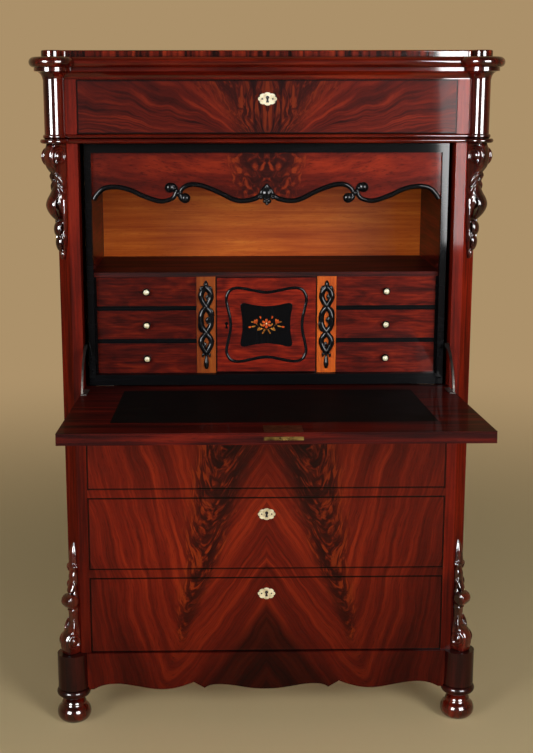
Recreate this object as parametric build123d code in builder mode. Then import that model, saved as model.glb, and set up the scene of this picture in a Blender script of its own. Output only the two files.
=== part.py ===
# Fall-front secretary of polished mahogany, about 1850: a frieze drawer, a fall that opens into
# a writing board before a fitted interior, and three long drawers over a shaped plinth.
# Millimetres, +Z up, +Y to the back. The origin is on the floor, under the middle of the box
# that holds the secretary with its fall open.
from build123d import *
from math import asin, cos, degrees, pi, radians, sin, sqrt
import os

os.makedirs("parts", exist_ok=True)

# Case
case_width = 900
case_depth = 390
side_thick = 20
back_thick = 12
back_rail = 60
stile_width = 49
cant = 27
stile_depth = 45
rail = 18.5
fall_rail = 28.5
board_thick = 12
slack = 1
seat = 0.3
glue = 0.1

# Heights from the floor up
foot_height = 62
ring_height = 21
block_height = 83
lower_drawer_space = 180.5
middle_drawer_space = 170
upper_drawer_space = 177
fall_space = 556
astragal_height = 19
frieze_space = 112.5
cove_height = 16.5
fillet_height = 7.5
torus_height = 22
plateau_thick = 13.5

# Fall
fall_thick = 22
fall_rise = 3.4
fall_gap = 1.5
fall_nose = 8
fall_quirk = 1.5
fall_quirk_inset = 3
pin_inset = 11
pin_drop = 15
pin_radius = 4
pin_length = 16
pin_fit = 0.05
leather_side = 89.5
leather_start = 56
leather_rim = 32
leather_thick = 1.5
fall_lock_width = 72
fall_lock_reach = 66
fall_lock_offset = 12.5
fall_lock_rim = 5
forend_height = 6.5
forend_bolt = 2.2
forend_bolt_gap = 13
forend_bolt_depth = 4
stay_radius = 105
stay_width = 9
stay_thick = 4
stay_angle = 96.5
stay_margin = 3
strap_width = 12
strap_length = 70
strap_thick = 2
strap_end = 8
toe_length = 7
stop_depth = 9

# Mouldings and turnings
column_radius = 21.5
column_inset = 2
upper_bead_radius = 25
lower_bead_radius = 31.3
capital_neck_radius = 22.4
fillet_radius = 39.5
capital_radius = 50
astragal_upper = 5
astragal_lower = 9
cornice_fillet = 10
cornice_torus = 18.5
cornice_rail = 22
plateau_ear = 23.5
plateau_proud = 5
plateau_cove = 8
plateau_round = 3
block_radius = 35
block_inset = 6
ring_radius = 38.5
bun_radius = 39
bun_height = 56
bun_flat = 21
bun_neck = 21.5
dowel_radius = 12
dowel_length = 30
plinth_thick = 22
plinth_proud = 6
plinth_depth = 90
plinth_wave = 18
rear_foot_width = 62
rear_foot_toe = 44

# Long drawers
front_thick = 22
box_thick = 11
bottom_thick = 7
groove = 4
box_tail = 22
box_drop = 9
guide_height = 18
lock_width = 60
lock_below = 15
lock_thick = 10
lock_drop = 39
bolt_width = 22
bolt_thick = 6
bolt_throw = 8
escutcheon_width = 39.5
escutcheon_height = 27
escutcheon_thick = 2
escutcheon_proud = 0.5
escutcheon_lobe = 8.5
key_radius = 2.4
key_slot = 2.2
key_drop = 7

# Fitted interior
fit_clear = 4
frame_side = 14
frame_top = 19
frame_bottom = 23.5
frame_depth = 18
slot_width = 10
fit_room = 30
fit_panel = 8
fit_wall = 10
fit_head = 2
bearer_width = 40
bearer_inset = 60
lower_nest_space = 67.5
middle_nest_space = 63.5
upper_nest_space = 65
shelf_thick = 9.5
upright = 8
pilaster_width = 42
pilaster_thick = 12
vine_width = 31
vine_strand = 8
vine_proud = 6
vine_margin = 10
vine_loops = 3
peg_radius = 6.5
peg_length = 6
peg_inset = 12
apron_depth = 103
apron_thick = 9
bead_width = 9.4
bead_proud = 5
boss_radius = 11
shell_radius = 15

# Cupboard door
door_width = 222
door_thick = 14
door_gap = 0.7
door_pin_side = 5
door_pin_depth = 4
door_pin_radius = 1.5
door_pin_length = 6
door_round = 3
cartouche_width = 152
cartouche_height = 148
cartouche_bead = 5
cartouche_proud = 3
panel_width = 104
panel_height = 88
panel_proud = 1.2
door_lock_width = 42
door_lock_height = 32
door_lock_thick = 7
door_key_inset = 34

# Small drawers
small_front = 12
small_side = 6
small_bottom = 4
small_tail = 19
small_drop = 6
small_gap = 0.7
knob_radius = 8.5
knob_length = 13
knob_neck = 3.2
knob_neck_length = 4

# Carved corner consoles, measured out from the canted corner
console_width = 32
corbel_height = 247
corbel_reach = 41
corbel_eye_out = 15
corbel_eye_drop = 24
corbel_eye = 9
volute_height = 262
volute_reach = 35
volute_eye_out = 14
volute_eye_up = 30
volute_eye = 7
scroll_band = 3.2
scroll_proud = 1.8
scroll_turns = 1.6
eye_proud = 2.5

# Outlines as shares of height and reach, from the top down
corbel_shares = (
    (1.0, 0.78), (0.94, 0.93), (0.89, 0.98), (0.84, 0.85), (0.765, 0.49), (0.696, 0.37),
    (0.636, 0.45), (0.567, 0.59), (0.494, 0.83), (0.45, 0.76), (0.413, 0.49), (0.34, 0.23),
    (0.296, 0.4), (0.235, 0.39), (0.19, 0.26), (0.14, 0.31), (0.065, 0.15), (0, 0.07),
)
volute_shares = (
    (1.0, 0.06), (0.79, 0.22), (0.67, 0.26), (0.585, 0.24), (0.54, 0.49), (0.495, 0.8),
    (0.447, 0.83), (0.416, 0.63), (0.33, 0.4), (0.29, 0.34), (0.218, 0.65), (0.16, 0.96),
    (0.115, 1.0), (0.046, 0.98), (0, 0.96),
)

# Outlines as shares of half a width and of a depth, from the middle outwards
plinth_centre_shares = ((0, 0), (0.22, 0.65), (0.32, 0.17))
plinth_lobe_shares = (
    (0.377, 1.0), (0.44, 0.42), (0.532, 0.05), (0.64, 0.35), (0.8, 0.84), (0.893, 0.12),
)
apron_centre_shares = (
    (0.029, 0.126), (0.072, 0.04), (0.14, 0.0), (0.196, 0.04), (0.27, 0.175),
    (0.347, 0.29), (0.408, 0.343), (0.443, 0.33), (0.477, 0.243), (0.488, 0.14),
)
apron_outer_shares = (
    (0.513, 0.143), (0.533, 0.068), (0.583, 0.005), (0.623, 0.005), (0.705, 0.107),
    (0.788, 0.243), (0.865, 0.295), (0.927, 0.27), (0.983, 0.08),
)
boss_shares = ((0.554, 0.28), (0.466, 0.06))
corner_share = 0.74
waist_share = 0.86
knee_share = 0.94

# Places worked out from the sizes above
half = case_width / 2
half_open = half - stile_width
plinth_top = foot_height + ring_height + block_height
middle_floor = plinth_top + lower_drawer_space + rail
upper_floor = middle_floor + middle_drawer_space + rail
rail_bottom = upper_floor + upper_drawer_space
fall_floor = rail_bottom + fall_rail
fall_top = fall_floor + fall_space
frieze_floor = fall_top + astragal_height
cornice_z = frieze_floor + frieze_space
fillet_z = cornice_z + cove_height
torus_z = fillet_z + fillet_height
plateau_z = torus_z + torus_height
pin_z = fall_floor + slack + pin_drop
fall_out = fall_space - 2 * slack - pin_drop
fall_half = half_open - fall_gap
tilt = radians(fall_rise)
fall_reach = fall_out * cos(tilt) + pin_inset * sin(tilt) - pin_inset
front = (fall_reach - case_depth) / 2
back = front + case_depth
inner_back = back - back_thick
inner_half = half - side_thick
column_x = half - column_inset
block_x = half - block_inset
diagonal = sqrt(1 / 2)
fit_y = front + fall_thick + fit_clear
nest_y = fit_y + frame_depth
fit_half = half_open - slot_width
wall_half = fit_half - fit_wall
fit_back = inner_back - fit_room
fit_bottom = pin_z + fall_thick - pin_inset + slack
fit_top = fall_top - fit_head
nest_floor = fit_bottom + frame_bottom
middle_nest = nest_floor + lower_nest_space + shelf_thick
upper_nest = middle_nest + middle_nest_space + shelf_thick
shelf_z = upper_nest + upper_nest_space
shelf_top = shelf_z + shelf_thick
room_top = fit_top - frame_top
room_half = fit_half - frame_side
door_half = door_width / 2
pilaster_in = door_half + slack
pilaster_out = pilaster_in + pilaster_width
nest_half = wall_half - upright
bolt_y = front + front_thick - lock_thick / 2
door_pin_x = door_half - door_pin_side
door_pin_y = nest_y + door_pin_depth
nest_middle_z = (nest_floor + shelf_z) / 2
key_x = door_key_inset - door_half
sides = (("left", -1), ("right", 1))


def finish(piece, name):
    """Name a finished piece and write it."""
    piece.part.label = name
    export_step(piece.part, f"parts/{name}.step")


def face_on(x, y):
    """A plane that faces the viewer: its x runs right and its y runs up from the floor."""
    return Plane(origin=(x, y, 0), x_dir=(1, 0, 0), z_dir=(0, -1, 0))


def fall_plane(height):
    """A plane along the fall, at a height over its middle: x runs right, -y outward."""
    return Plane(
        origin=(0, front + pin_inset + height * sin(tilt), pin_z + height * cos(tilt)),
        x_dir=(1, 0, 0), z_dir=(0, sin(tilt), cos(tilt)),
    )


def console_plane(s, z):
    """A plane that stands out from the canted corner: x runs outward and y runs up."""
    return Plane(
        origin=(s * (half - cant / 2), front + cant / 2, z),
        x_dir=(s * diagonal, -diagonal, 0), z_dir=(-diagonal, -s * diagonal, 0),
    )


def block(x0, x1, y0, y1, z0, z1, mode=Mode.ADD):
    """A square-edged board between two corners."""
    with BuildSketch(Plane.XY.offset(z0)) as plan:
        with Locations(((x0 + x1) / 2, (y0 + y1) / 2)):
            Rectangle(abs(x1 - x0), abs(y1 - y0))
    extrude(plan.sketch, amount=z1 - z0, mode=mode)


def fall_block(x0, x1, out0, out1, height0, height1, mode=Mode.ADD):
    """A board that lies along the fall, between two distances out from its pins."""
    with BuildSketch(fall_plane(height0)) as plan:
        with Locations(((x0 + x1) / 2, -(out0 + out1) / 2)):
            Rectangle(abs(x1 - x0), abs(out1 - out0))
    extrude(plan.sketch, amount=height1 - height0, mode=mode)


def post(x, y, radius, z0, z1, mode=Mode.ADD):
    """An upright round post, or room for one."""
    with BuildSketch(Plane.XY.offset(z0)) as plan:
        with Locations((x, y)):
            Circle(radius)
    extrude(plan.sketch, amount=z1 - z0, mode=mode)


def keyhole(x, y, z, depth):
    """A keyhole through a front, from its face inwards."""
    with BuildSketch(face_on(x, y)) as hole:
        with Locations((0, z)):
            Circle(key_radius)
        with Locations((0, z - key_drop / 2)):
            Rectangle(key_slot, key_drop)
    extrude(hole.sketch, amount=-depth, mode=Mode.SUBTRACT)


def corner_turning(s, grow=0, mode=Mode.ADD):
    """The turned corner column with its base beads and its capital, or room for it."""
    bead = astragal_height / 2
    base_z = fall_top + bead
    with BuildSketch(face_on(s * column_x, front)) as section:
        with BuildLine():
            Polyline(
                (fillet_radius + grow, plateau_z), (0, plateau_z), (0, fall_top),
                (lower_bead_radius - bead / 2 + grow, fall_top),
            )
            ThreePointArc(
                (lower_bead_radius - bead / 2 + grow, fall_top),
                (lower_bead_radius + grow, fall_top + bead / 2),
                (lower_bead_radius - bead / 2 + grow, base_z),
            )
            Line(
                (lower_bead_radius - bead / 2 + grow, base_z),
                (upper_bead_radius - bead / 2 + grow, base_z),
            )
            ThreePointArc(
                (upper_bead_radius - bead / 2 + grow, base_z),
                (upper_bead_radius + grow, base_z + bead / 2),
                (column_radius + grow, frieze_floor),
            )
            Polyline(
                (column_radius + grow, frieze_floor), (column_radius + grow, cornice_z),
                (capital_neck_radius + grow, cornice_z),
            )
            TangentArc(
                (capital_neck_radius + grow, cornice_z), (fillet_radius + grow, fillet_z),
                tangent=(0, 1),
            )
            Line((fillet_radius + grow, fillet_z), (fillet_radius + grow, torus_z))
            ThreePointArc(
                (fillet_radius + grow, torus_z),
                (capital_radius + grow, torus_z + torus_height / 2),
                (fillet_radius + grow, plateau_z),
            )
        make_face()
    revolve(section.sketch, axis=Axis((s * column_x, front, 0), (0, 0, 1)), mode=mode)


# Case sides, rebated for the back
for name, s in sides:
    with BuildPart() as case_side:
        block(s * inner_half, s * half, front + stile_depth, back, plinth_top, plateau_z)
        block(
            s * inner_half, s * (half - side_thick / 2), inner_back, back,
            plinth_top, plateau_z, Mode.SUBTRACT,
        )
        corner_turning(s, seat, Mode.SUBTRACT)
    finish(case_side, f"case_side_{name}")

# Stiles: canted up to the astragal, square behind the columns, bored for the fall's pins
for name, s in sides:
    with BuildPart() as stile:
        block(s * half_open, s * half, front, front + stile_depth, plinth_top, cornice_z)
        block(
            s * half_open, s * half, front + cornice_rail, front + stile_depth,
            cornice_z, plateau_z,
        )
        with BuildSketch(Plane.XY.offset(plinth_top)):
            with BuildLine():
                Polyline(
                    (s * (half - cant), front), (s * half, front + cant), (s * half, front),
                    close=True,
                )
            make_face()
        extrude(amount=fall_top - plinth_top, mode=Mode.SUBTRACT)
        corner_turning(s, seat, Mode.SUBTRACT)
        with BuildSketch(Plane.YZ.offset(s * half_open)):
            with Locations((front + pin_inset, pin_z)):
                Circle(pin_radius + pin_fit)
        extrude(amount=s * pin_length, mode=Mode.SUBTRACT)
    finish(stile, f"stile_{name}")

# Framed and panelled back, let into the sides
with BuildPart() as back_panel:
    edge = half - side_thick / 2 - glue
    block(-edge, edge, inner_back, back, plinth_top, plateau_z)
    for low, high in ((plinth_top, fall_floor), (fall_floor, plateau_z)):
        for x0, x1 in ((-edge, 0), (0, edge)):
            block(
                x0 + back_rail, x1 - back_rail, back - back_thick / 3, back,
                low + back_rail, high - back_rail, Mode.SUBTRACT,
            )
finish(back_panel, "back_panel")

# Bottom board, cut round the plinth blocks
with BuildPart() as bottom_board:
    edge = half + plinth_proud - plinth_thick
    low = plinth_top - rail
    block(-edge, edge, front - plinth_proud + plinth_thick, inner_back, low, plinth_top)
    for s in (-1, 1):
        post(
            s * block_x, front + block_inset, block_radius + seat, low, plinth_top,
            Mode.SUBTRACT,
        )
finish(bottom_board, "bottom_board")


def rail_mortise(level):
    """Room over a drawer lock for its bolt."""
    block(
        -bolt_width / 2, bolt_width / 2, bolt_y - bolt_thick / 2, bolt_y + bolt_thick / 2,
        level, level + bolt_throw, Mode.SUBTRACT,
    )


# Front rails with their dust boards
for name, low, high in (
    ("lower_dust_board", middle_floor - rail, middle_floor),
    ("middle_dust_board", upper_floor - rail, upper_floor),
    ("upper_dust_board", rail_bottom, fall_floor),
):
    with BuildPart() as dust_board:
        block(-half_open, half_open, front, front + stile_depth, low, high)
        block(
            -inner_half, inner_half, front + stile_depth, inner_back, high - board_thick, high
        )
        rail_mortise(low)
    finish(dust_board, name)

# Frieze rail with the double bead on its front edge
with BuildPart() as frieze_rail:
    bead = astragal_height / 2
    block(-half_open, half_open, front, front + stile_depth, fall_top, frieze_floor)
    block(
        -inner_half, inner_half, front + stile_depth, inner_back,
        frieze_floor - board_thick, frieze_floor,
    )
    with BuildSketch(Plane.YZ.offset(-column_x)):
        for level, proud in ((fall_top, astragal_lower), (fall_top + bead, astragal_upper)):
            with BuildLine():
                Polyline(
                    (front - proud + bead / 2, level + bead), (front, level + bead),
                    (front, level), (front - proud + bead / 2, level),
                )
                ThreePointArc(
                    (front - proud + bead / 2, level), (front - proud, level + bead / 2),
                    (front - proud + bead / 2, level + bead),
                )
            make_face()
    extrude(amount=2 * column_x)
    for s in (-1, 1):
        corner_turning(s, seat, Mode.SUBTRACT)
    block(
        fall_lock_offset - forend_bolt_gap, fall_lock_offset + forend_bolt_gap,
        front + pin_inset - forend_height / 2, front + pin_inset + forend_height / 2,
        fall_top, fall_top + bolt_throw, Mode.SUBTRACT,
    )
finish(frieze_rail, "frieze_rail")

# Guides that keep the long drawers straight, and bearers that hold the fitment
with BuildPart() as guides_and_bearers:
    for low in (plinth_top, middle_floor, upper_floor, frieze_floor):
        for s in (-1, 1):
            block(
                s * (half_open + slack), s * inner_half, front + stile_depth, inner_back,
                low, low + guide_height,
            )
    for s in (-1, 1):
        block(
            s * (wall_half - bearer_width), s * wall_half, front + bearer_inset, fit_back,
            fall_floor, nest_floor - fit_wall,
        )
finish(guides_and_bearers, "guides_and_bearers")

# Case top, between the stiles and the sides
with BuildPart() as case_top:
    low = plateau_z - rail
    block(
        -half_open, half_open, front + cornice_rail, front + stile_depth, low, plateau_z
    )
    block(-inner_half, inner_half, front + stile_depth, inner_back, low, plateau_z)
    for s in (-1, 1):
        corner_turning(s, seat, Mode.SUBTRACT)
finish(case_top, "case_top")


def cornice_section(plane):
    """Cove, fillet and torus of the cornice, planted on a face."""
    with BuildSketch(plane) as section:
        with BuildLine():
            TangentArc((0, cornice_z), (cornice_fillet, fillet_z), tangent=(0, 1))
            Line((cornice_fillet, fillet_z), (cornice_fillet, torus_z))
            ThreePointArc(
                (cornice_fillet, torus_z),
                (cornice_torus, torus_z + torus_height / 2),
                (cornice_fillet, plateau_z),
            )
            Polyline((cornice_fillet, plateau_z), (0, plateau_z), (0, cornice_z))
        make_face()
    return section.sketch


# Cornice: the front one carries the top rail, the returns are planted on the sides
with BuildPart() as cornice_front:
    across = Plane(origin=(-column_x, front, 0), x_dir=(0, -1, 0), z_dir=(-1, 0, 0))
    extrude(cornice_section(across), amount=-2 * column_x)
    block(-column_x, column_x, front, front + cornice_rail, cornice_z, plateau_z)
    for s in (-1, 1):
        corner_turning(s, seat, Mode.SUBTRACT)
    rail_mortise(cornice_z)
finish(cornice_front, "cornice_front")
with BuildPart() as cornice_returns:
    for s in (-1, 1):
        along = Plane(origin=(s * half, front, 0), x_dir=(s, 0, 0), z_dir=(0, -s, 0))
        extrude(cornice_section(along), amount=-s * case_depth)
        corner_turning(s, seat, Mode.SUBTRACT)
finish(cornice_returns, "cornice_returns")

# Plateau: the top board, with a round ear over each column
with BuildPart() as plateau:
    with BuildSketch(Plane.XY.offset(plateau_z)) as plan:
        with Locations((0, front + (case_depth - plateau_proud) / 2)):
            Rectangle(case_width + 2 * plateau_proud, case_depth + plateau_proud)
        with Locations((-column_x, front), (column_x, front)):
            Circle(plateau_ear)
        fillet(plan.vertices().filter_by(lambda v: v.Y < front + stile_depth), plateau_cove)
    extrude(amount=plateau_thick)
    rim = plateau.faces().sort_by(Axis.Z)[-1].edges()
    fillet(rim.filter_by(lambda e: e.center().Y < inner_back), plateau_round)
finish(plateau, "plateau")

# Corner columns
for name, s in sides:
    with BuildPart() as column:
        corner_turning(s)
    finish(column, f"column_{name}")


def console(s, z, height, reach, shares):
    """A scrolled bracket on the canted corner, from its outline in shares."""
    curve = [(reach * out, height * up) for up, out in shares]
    with BuildSketch(console_plane(s, z)) as outline:
        with BuildLine():
            Spline(curve)
            Polyline(curve[-1], (0, 0), (0, height), curve[0])
        make_face()
    extrude(outline.sketch, amount=console_width / 2 - scroll_proud, both=True)


def scroll(s, z, out, up, eye, size, start):
    """A raised spiral round a button, on both cheeks of a console."""
    steps = 14
    spiral = []
    for step in range(steps + 1):
        share = step / steps
        angle = start + 2 * pi * scroll_turns * share
        radius = eye + (size - eye) * share
        spiral.append((out + radius * cos(angle), up + radius * sin(angle)))
    with BuildSketch(console_plane(s, z)) as ribbon:
        with BuildLine():
            Spline(spiral)
        trace(line_width=scroll_band)
    extrude(ribbon.sketch, amount=console_width / 2, both=True)
    with BuildSketch(console_plane(s, z)) as button:
        with Locations((out, up)):
            Circle(eye - scroll_band / 2)
    extrude(button.sketch, amount=console_width / 2 + eye_proud, both=True)
    with BuildSketch(console_plane(s, z)) as wall:
        with Locations((-size, up)):
            Rectangle(2 * size, 4 * size)
    extrude(wall.sketch, amount=console_width, both=True, mode=Mode.SUBTRACT)


# Upper consoles: a large scroll carries each column's base, over leaves and a pendant
with BuildPart() as upper_consoles:
    console_z = fall_top - corbel_height
    for s in (-1, 1):
        console(s, console_z, corbel_height, corbel_reach, corbel_shares)
        scroll(
            s, console_z, corbel_eye_out, corbel_height - corbel_eye_drop, corbel_eye,
            corbel_reach - corbel_eye_out - scroll_band, pi,
        )
finish(upper_consoles, "upper_consoles")

# Lower consoles: a volute stands on each plinth block, under a leaf that runs up the corner
with BuildPart() as lower_consoles:
    for s in (-1, 1):
        console(s, plinth_top, volute_height, volute_reach, volute_shares)
        scroll(
            s, plinth_top, volute_eye_out, volute_eye_up, volute_eye,
            volute_reach - volute_eye_out - scroll_band, pi,
        )
finish(lower_consoles, "lower_consoles")

# Plinth front with its serpentine lower edge
with BuildPart() as plinth_front:
    reach = block_x - sqrt(block_radius**2 - block_inset**2)
    with BuildSketch(face_on(0, front - plinth_proud)):
        with BuildLine():
            low = plinth_top - plinth_depth
            centre = [(block_x * x, low + plinth_wave * z) for x, z in plinth_centre_shares]
            lobe = [(block_x * x, low + plinth_wave * z) for x, z in plinth_lobe_shares]
            Spline(centre, tangents=[(1, 0), (1, -1)])
            Line(centre[-1], lobe[0])
            Spline(lobe)
            Polyline(
                lobe[-1], (block_x, lobe[-1][1]), (block_x, plinth_top), (0, plinth_top),
                centre[0],
            )
        make_face()
        mirror(about=Plane.YZ)
    extrude(amount=-plinth_thick)
    for s in (-1, 1):
        post(
            s * block_x, front + block_inset, ring_radius, low - plinth_wave,
            plinth_top - block_height, Mode.SUBTRACT,
        )
        post(
            s * block_x, front + block_inset, block_radius + seat, plinth_top - block_height,
            plinth_top, Mode.SUBTRACT,
        )
finish(plinth_front, "plinth_front")

# Plinth sides, each with a long shallow arch
with BuildPart() as plinth_sides:
    for s in (-1, 1):
        outer = half + plinth_proud
        low = plinth_top - block_height
        block(s * (outer - plinth_thick), s * outer, front + block_inset, back, low, plinth_top)
        with BuildSketch(Plane.YZ.offset(s * outer)):
            with BuildLine():
                start = (front + block_inset + 2 * block_radius, low)
                end = (back - rear_foot_width, low)
                ThreePointArc(start, ((start[0] + end[0]) / 2, low + plinth_wave), end)
                Line(end, start)
            make_face()
        extrude(amount=-s * plinth_thick, mode=Mode.SUBTRACT)
        post(
            s * block_x, front + block_inset, block_radius + seat, low, plinth_top,
            Mode.SUBTRACT,
        )
finish(plinth_sides, "plinth_sides")

# Turned plinth blocks, each on a ring and bored for its foot's dowel
with BuildPart() as plinth_blocks:
    low = plinth_top - block_height
    for s in (-1, 1):
        with BuildSketch(face_on(s * block_x, front + block_inset)):
            with BuildLine():
                Polyline(
                    (ring_radius - ring_height / 2, low), (block_radius, low),
                    (block_radius, plinth_top), (0, plinth_top), (0, foot_height),
                    (ring_radius - ring_height / 2, foot_height),
                )
                ThreePointArc(
                    (ring_radius - ring_height / 2, foot_height),
                    (ring_radius, foot_height + ring_height / 2),
                    (ring_radius - ring_height / 2, low),
                )
            make_face()
        revolve(axis=Axis((s * block_x, front + block_inset, 0), (0, 0, 1)))
        post(
            s * block_x, front + block_inset, dowel_radius + pin_fit,
            foot_height, foot_height + dowel_length + slack, Mode.SUBTRACT,
        )
finish(plinth_blocks, "plinth_blocks")

# Turned bun feet with their dowels
with BuildPart() as front_feet:
    for s in (-1, 1):
        with BuildSketch(face_on(s * block_x, front + block_inset)) as section:
            with BuildLine():
                Polyline(
                    (bun_neck, bun_height), (bun_neck, foot_height),
                    (dowel_radius, foot_height), (dowel_radius, foot_height + dowel_length),
                    (0, foot_height + dowel_length), (0, 0), (bun_flat, 0),
                )
                ThreePointArc((bun_flat, 0), (bun_radius, bun_height / 2), (bun_neck, bun_height))
            make_face()
        revolve(axis=Axis((s * block_x, front + block_inset, 0), (0, 0, 1)))
finish(front_feet, "front_feet")

# Square rear feet, tapered at the floor
with BuildPart() as rear_feet:
    for s in (-1, 1):
        foot_x = half + plinth_proud - plinth_thick - rear_foot_width / 2
        foot_y = inner_back - rear_foot_width / 2
        for level, width in ((0, rear_foot_toe), (foot_height, rear_foot_width)):
            with BuildSketch(Plane.XY.offset(level)):
                with Locations((s * foot_x, foot_y)):
                    Rectangle(width, width)
        loft()
        block(
            s * foot_x - rear_foot_width / 2, s * foot_x + rear_foot_width / 2,
            foot_y - rear_foot_width / 2, foot_y + rear_foot_width / 2,
            foot_height, plinth_top - rail,
        )
finish(rear_feet, "rear_feet")

# Fitment carcase: its sides, floor and head, bored under the cupboard for the door's lower pin
with BuildPart() as fitment_case:
    deep = fit_back + fit_panel
    for s in (-1, 1):
        block(s * wall_half, s * fit_half, nest_y, deep, fit_bottom, fit_top)
    edge = wall_half - glue
    block(-edge, edge, nest_y, deep, nest_floor - fit_wall, nest_floor)
    block(-edge, edge, nest_y, deep, fit_top - fit_wall, fit_top)
    post(
        door_pin_x, door_pin_y, door_pin_radius + pin_fit,
        nest_floor - door_pin_length, nest_floor, Mode.SUBTRACT,
    )
finish(fitment_case, "fitment_case")

# Front frame of the fitment
with BuildPart() as fitment_frame:
    block(-fit_half, fit_half, fit_y, nest_y, fit_bottom, fit_top)
    block(-room_half, room_half, fit_y, nest_y, nest_floor, room_top, Mode.SUBTRACT)
finish(fitment_frame, "fitment_frame")

# Back of the fitment
with BuildPart() as fitment_back:
    block(
        -wall_half, wall_half, fit_back, fit_back + fit_panel, nest_floor, fit_top - fit_wall
    )
finish(fitment_back, "fitment_back")

# Shelf over the small drawers, with the turned peg over each of its front corners
with BuildPart() as fitment_shelf:
    block(-wall_half, wall_half, nest_y, fit_back, shelf_z, shelf_top)
    post(
        door_pin_x, door_pin_y, door_pin_radius + pin_fit,
        shelf_z, shelf_z + door_pin_length, Mode.SUBTRACT,
    )
    for s in (-1, 1):
        peg_z = shelf_top + peg_inset
        with BuildSketch(Plane.YZ.offset(s * wall_half)):
            with Locations((nest_y + peg_inset, peg_z)):
                Circle(peg_radius)
        extrude(amount=-s * peg_length)
finish(fitment_shelf, "fitment_shelf")

# Uprights and dividers round the small drawers and the cupboard
with BuildPart() as nest_partitions:
    for s in (-1, 1):
        block(s * nest_half, s * wall_half, nest_y, fit_back, nest_floor, shelf_z)
        for x in (pilaster_in, pilaster_out - upright):
            block(
                s * x, s * (x + upright), nest_y + pilaster_thick, fit_back,
                nest_floor, shelf_z,
            )
        for low in (middle_nest - shelf_thick, upper_nest - shelf_thick):
            block(
                s * (pilaster_out + glue), s * (nest_half - glue), nest_y, fit_back,
                low, low + shelf_thick,
            )
finish(nest_partitions, "nest_partitions")

# Pilasters beside the cupboard door
with BuildPart() as pilasters:
    for s in (-1, 1):
        block(
            s * pilaster_in, s * pilaster_out, nest_y, nest_y + pilaster_thick,
            nest_floor, shelf_z,
        )
finish(pilasters, "pilasters")

# Carved vines on the pilasters: two stems that cross between loops
with BuildPart() as vine_carvings:
    steps = 4 * vine_loops
    low = nest_floor + vine_margin
    run = shelf_z - nest_floor - 2 * vine_margin
    sway = (vine_width - vine_strand) / 2
    middle = (pilaster_in + pilaster_out) / 2
    for s in (-1, 1):
        with BuildSketch(face_on(s * middle, nest_y)):
            for hand in (-1, 1):
                stem = []
                for step in range(steps + 1):
                    turn = pi * vine_loops * step / steps
                    stem.append((hand * sway * sin(turn), low + run * step / steps))
                with BuildLine():
                    Spline(stem)
                trace(line_width=vine_strand)
        extrude(amount=vine_proud)
finish(vine_carvings, "vine_carvings")


def along_apron(shares):
    """Points along the apron's lower edge, on its right half."""
    low = room_top - apron_depth
    return [(room_half * x, low + apron_depth * z) for x, z in shares]


# Serpentine apron under the head of the fitment
with BuildPart() as apron:
    outer = along_apron(apron_outer_shares)
    centre = along_apron(apron_centre_shares)
    with BuildSketch(face_on(0, nest_y - apron_thick)):
        with BuildLine():
            Spline(centre)
            Line(centre[-1], outer[0])
            Spline(outer)
            Polyline(
                outer[-1], (room_half, outer[-1][1]), (room_half, room_top), (0, room_top),
                (0, centre[0][1]), centre[0],
            )
        make_face()
        mirror(about=Plane.YZ)
    extrude(amount=-apron_thick)
finish(apron, "apron")

# Scrolled bead along the apron, with its bosses and the shell at its middle
with BuildPart() as apron_bead:
    with BuildSketch(face_on(0, nest_y - apron_thick)):
        for shares in (apron_centre_shares, apron_outer_shares):
            with BuildLine():
                Spline(along_apron(shares))
            trace(line_width=bead_width)
        with Locations(*along_apron(boss_shares)):
            Circle(boss_radius)
        mirror(about=Plane.YZ)
        with Locations((0, centre[0][1])):
            Circle(shell_radius)
    extrude(amount=bead_proud)
finish(apron_bead, "apron_bead")

# Fall: framed for the leather, nosed below its pins and grooved along its outer edge
with BuildPart() as fall_board:
    with BuildSketch(Plane(
        origin=(-fall_half, front + pin_inset, pin_z),
        x_dir=(0, -cos(tilt), sin(tilt)), z_dir=(-1, 0, 0),
    )) as section:
        with Locations(((fall_out - pin_drop) / 2, 0)):
            Rectangle(fall_out + pin_drop, fall_thick)
        tail = section.vertices().group_by(Axis.X)[0]
        fillet(tail.sort_by(Axis.Y)[0], fall_nose)
        for h in (-1, 1):
            with Locations((fall_out, h * (fall_thick / 2 - fall_quirk_inset))):
                Rectangle(2 * fall_quirk, fall_quirk, mode=Mode.SUBTRACT)
    extrude(amount=-2 * fall_half)
    top = fall_thick / 2
    lock_left = fall_lock_offset - fall_lock_width / 2
    lock_right = fall_lock_offset + fall_lock_width / 2
    lock_end = fall_out - fall_lock_rim
    leather_half = fall_half - leather_side
    leather_end = lock_end - fall_lock_reach - leather_rim
    fall_block(
        -leather_half, leather_half, leather_start, leather_end, top - leather_thick, top,
        Mode.SUBTRACT,
    )
    fall_block(
        lock_left, lock_right, lock_end - fall_lock_reach, lock_end,
        -forend_height / 2, top, Mode.SUBTRACT,
    )
    fall_block(
        lock_left, lock_right, lock_end, fall_out, -forend_height / 2, forend_height / 2,
        Mode.SUBTRACT,
    )
    for s in (-1, 1):
        with BuildSketch(Plane.YZ.offset(s * fall_half)):
            with Locations((front + pin_inset, pin_z)):
                Circle(pin_radius + pin_fit)
        extrude(amount=-s * pin_length, mode=Mode.SUBTRACT)
finish(fall_board, "fall_board")

# Leather let into the writing side
with BuildPart() as fall_leather:
    fall_block(
        -leather_half, leather_half, leather_start, leather_end, top - leather_thick, top
    )
finish(fall_leather, "fall_leather")

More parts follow.
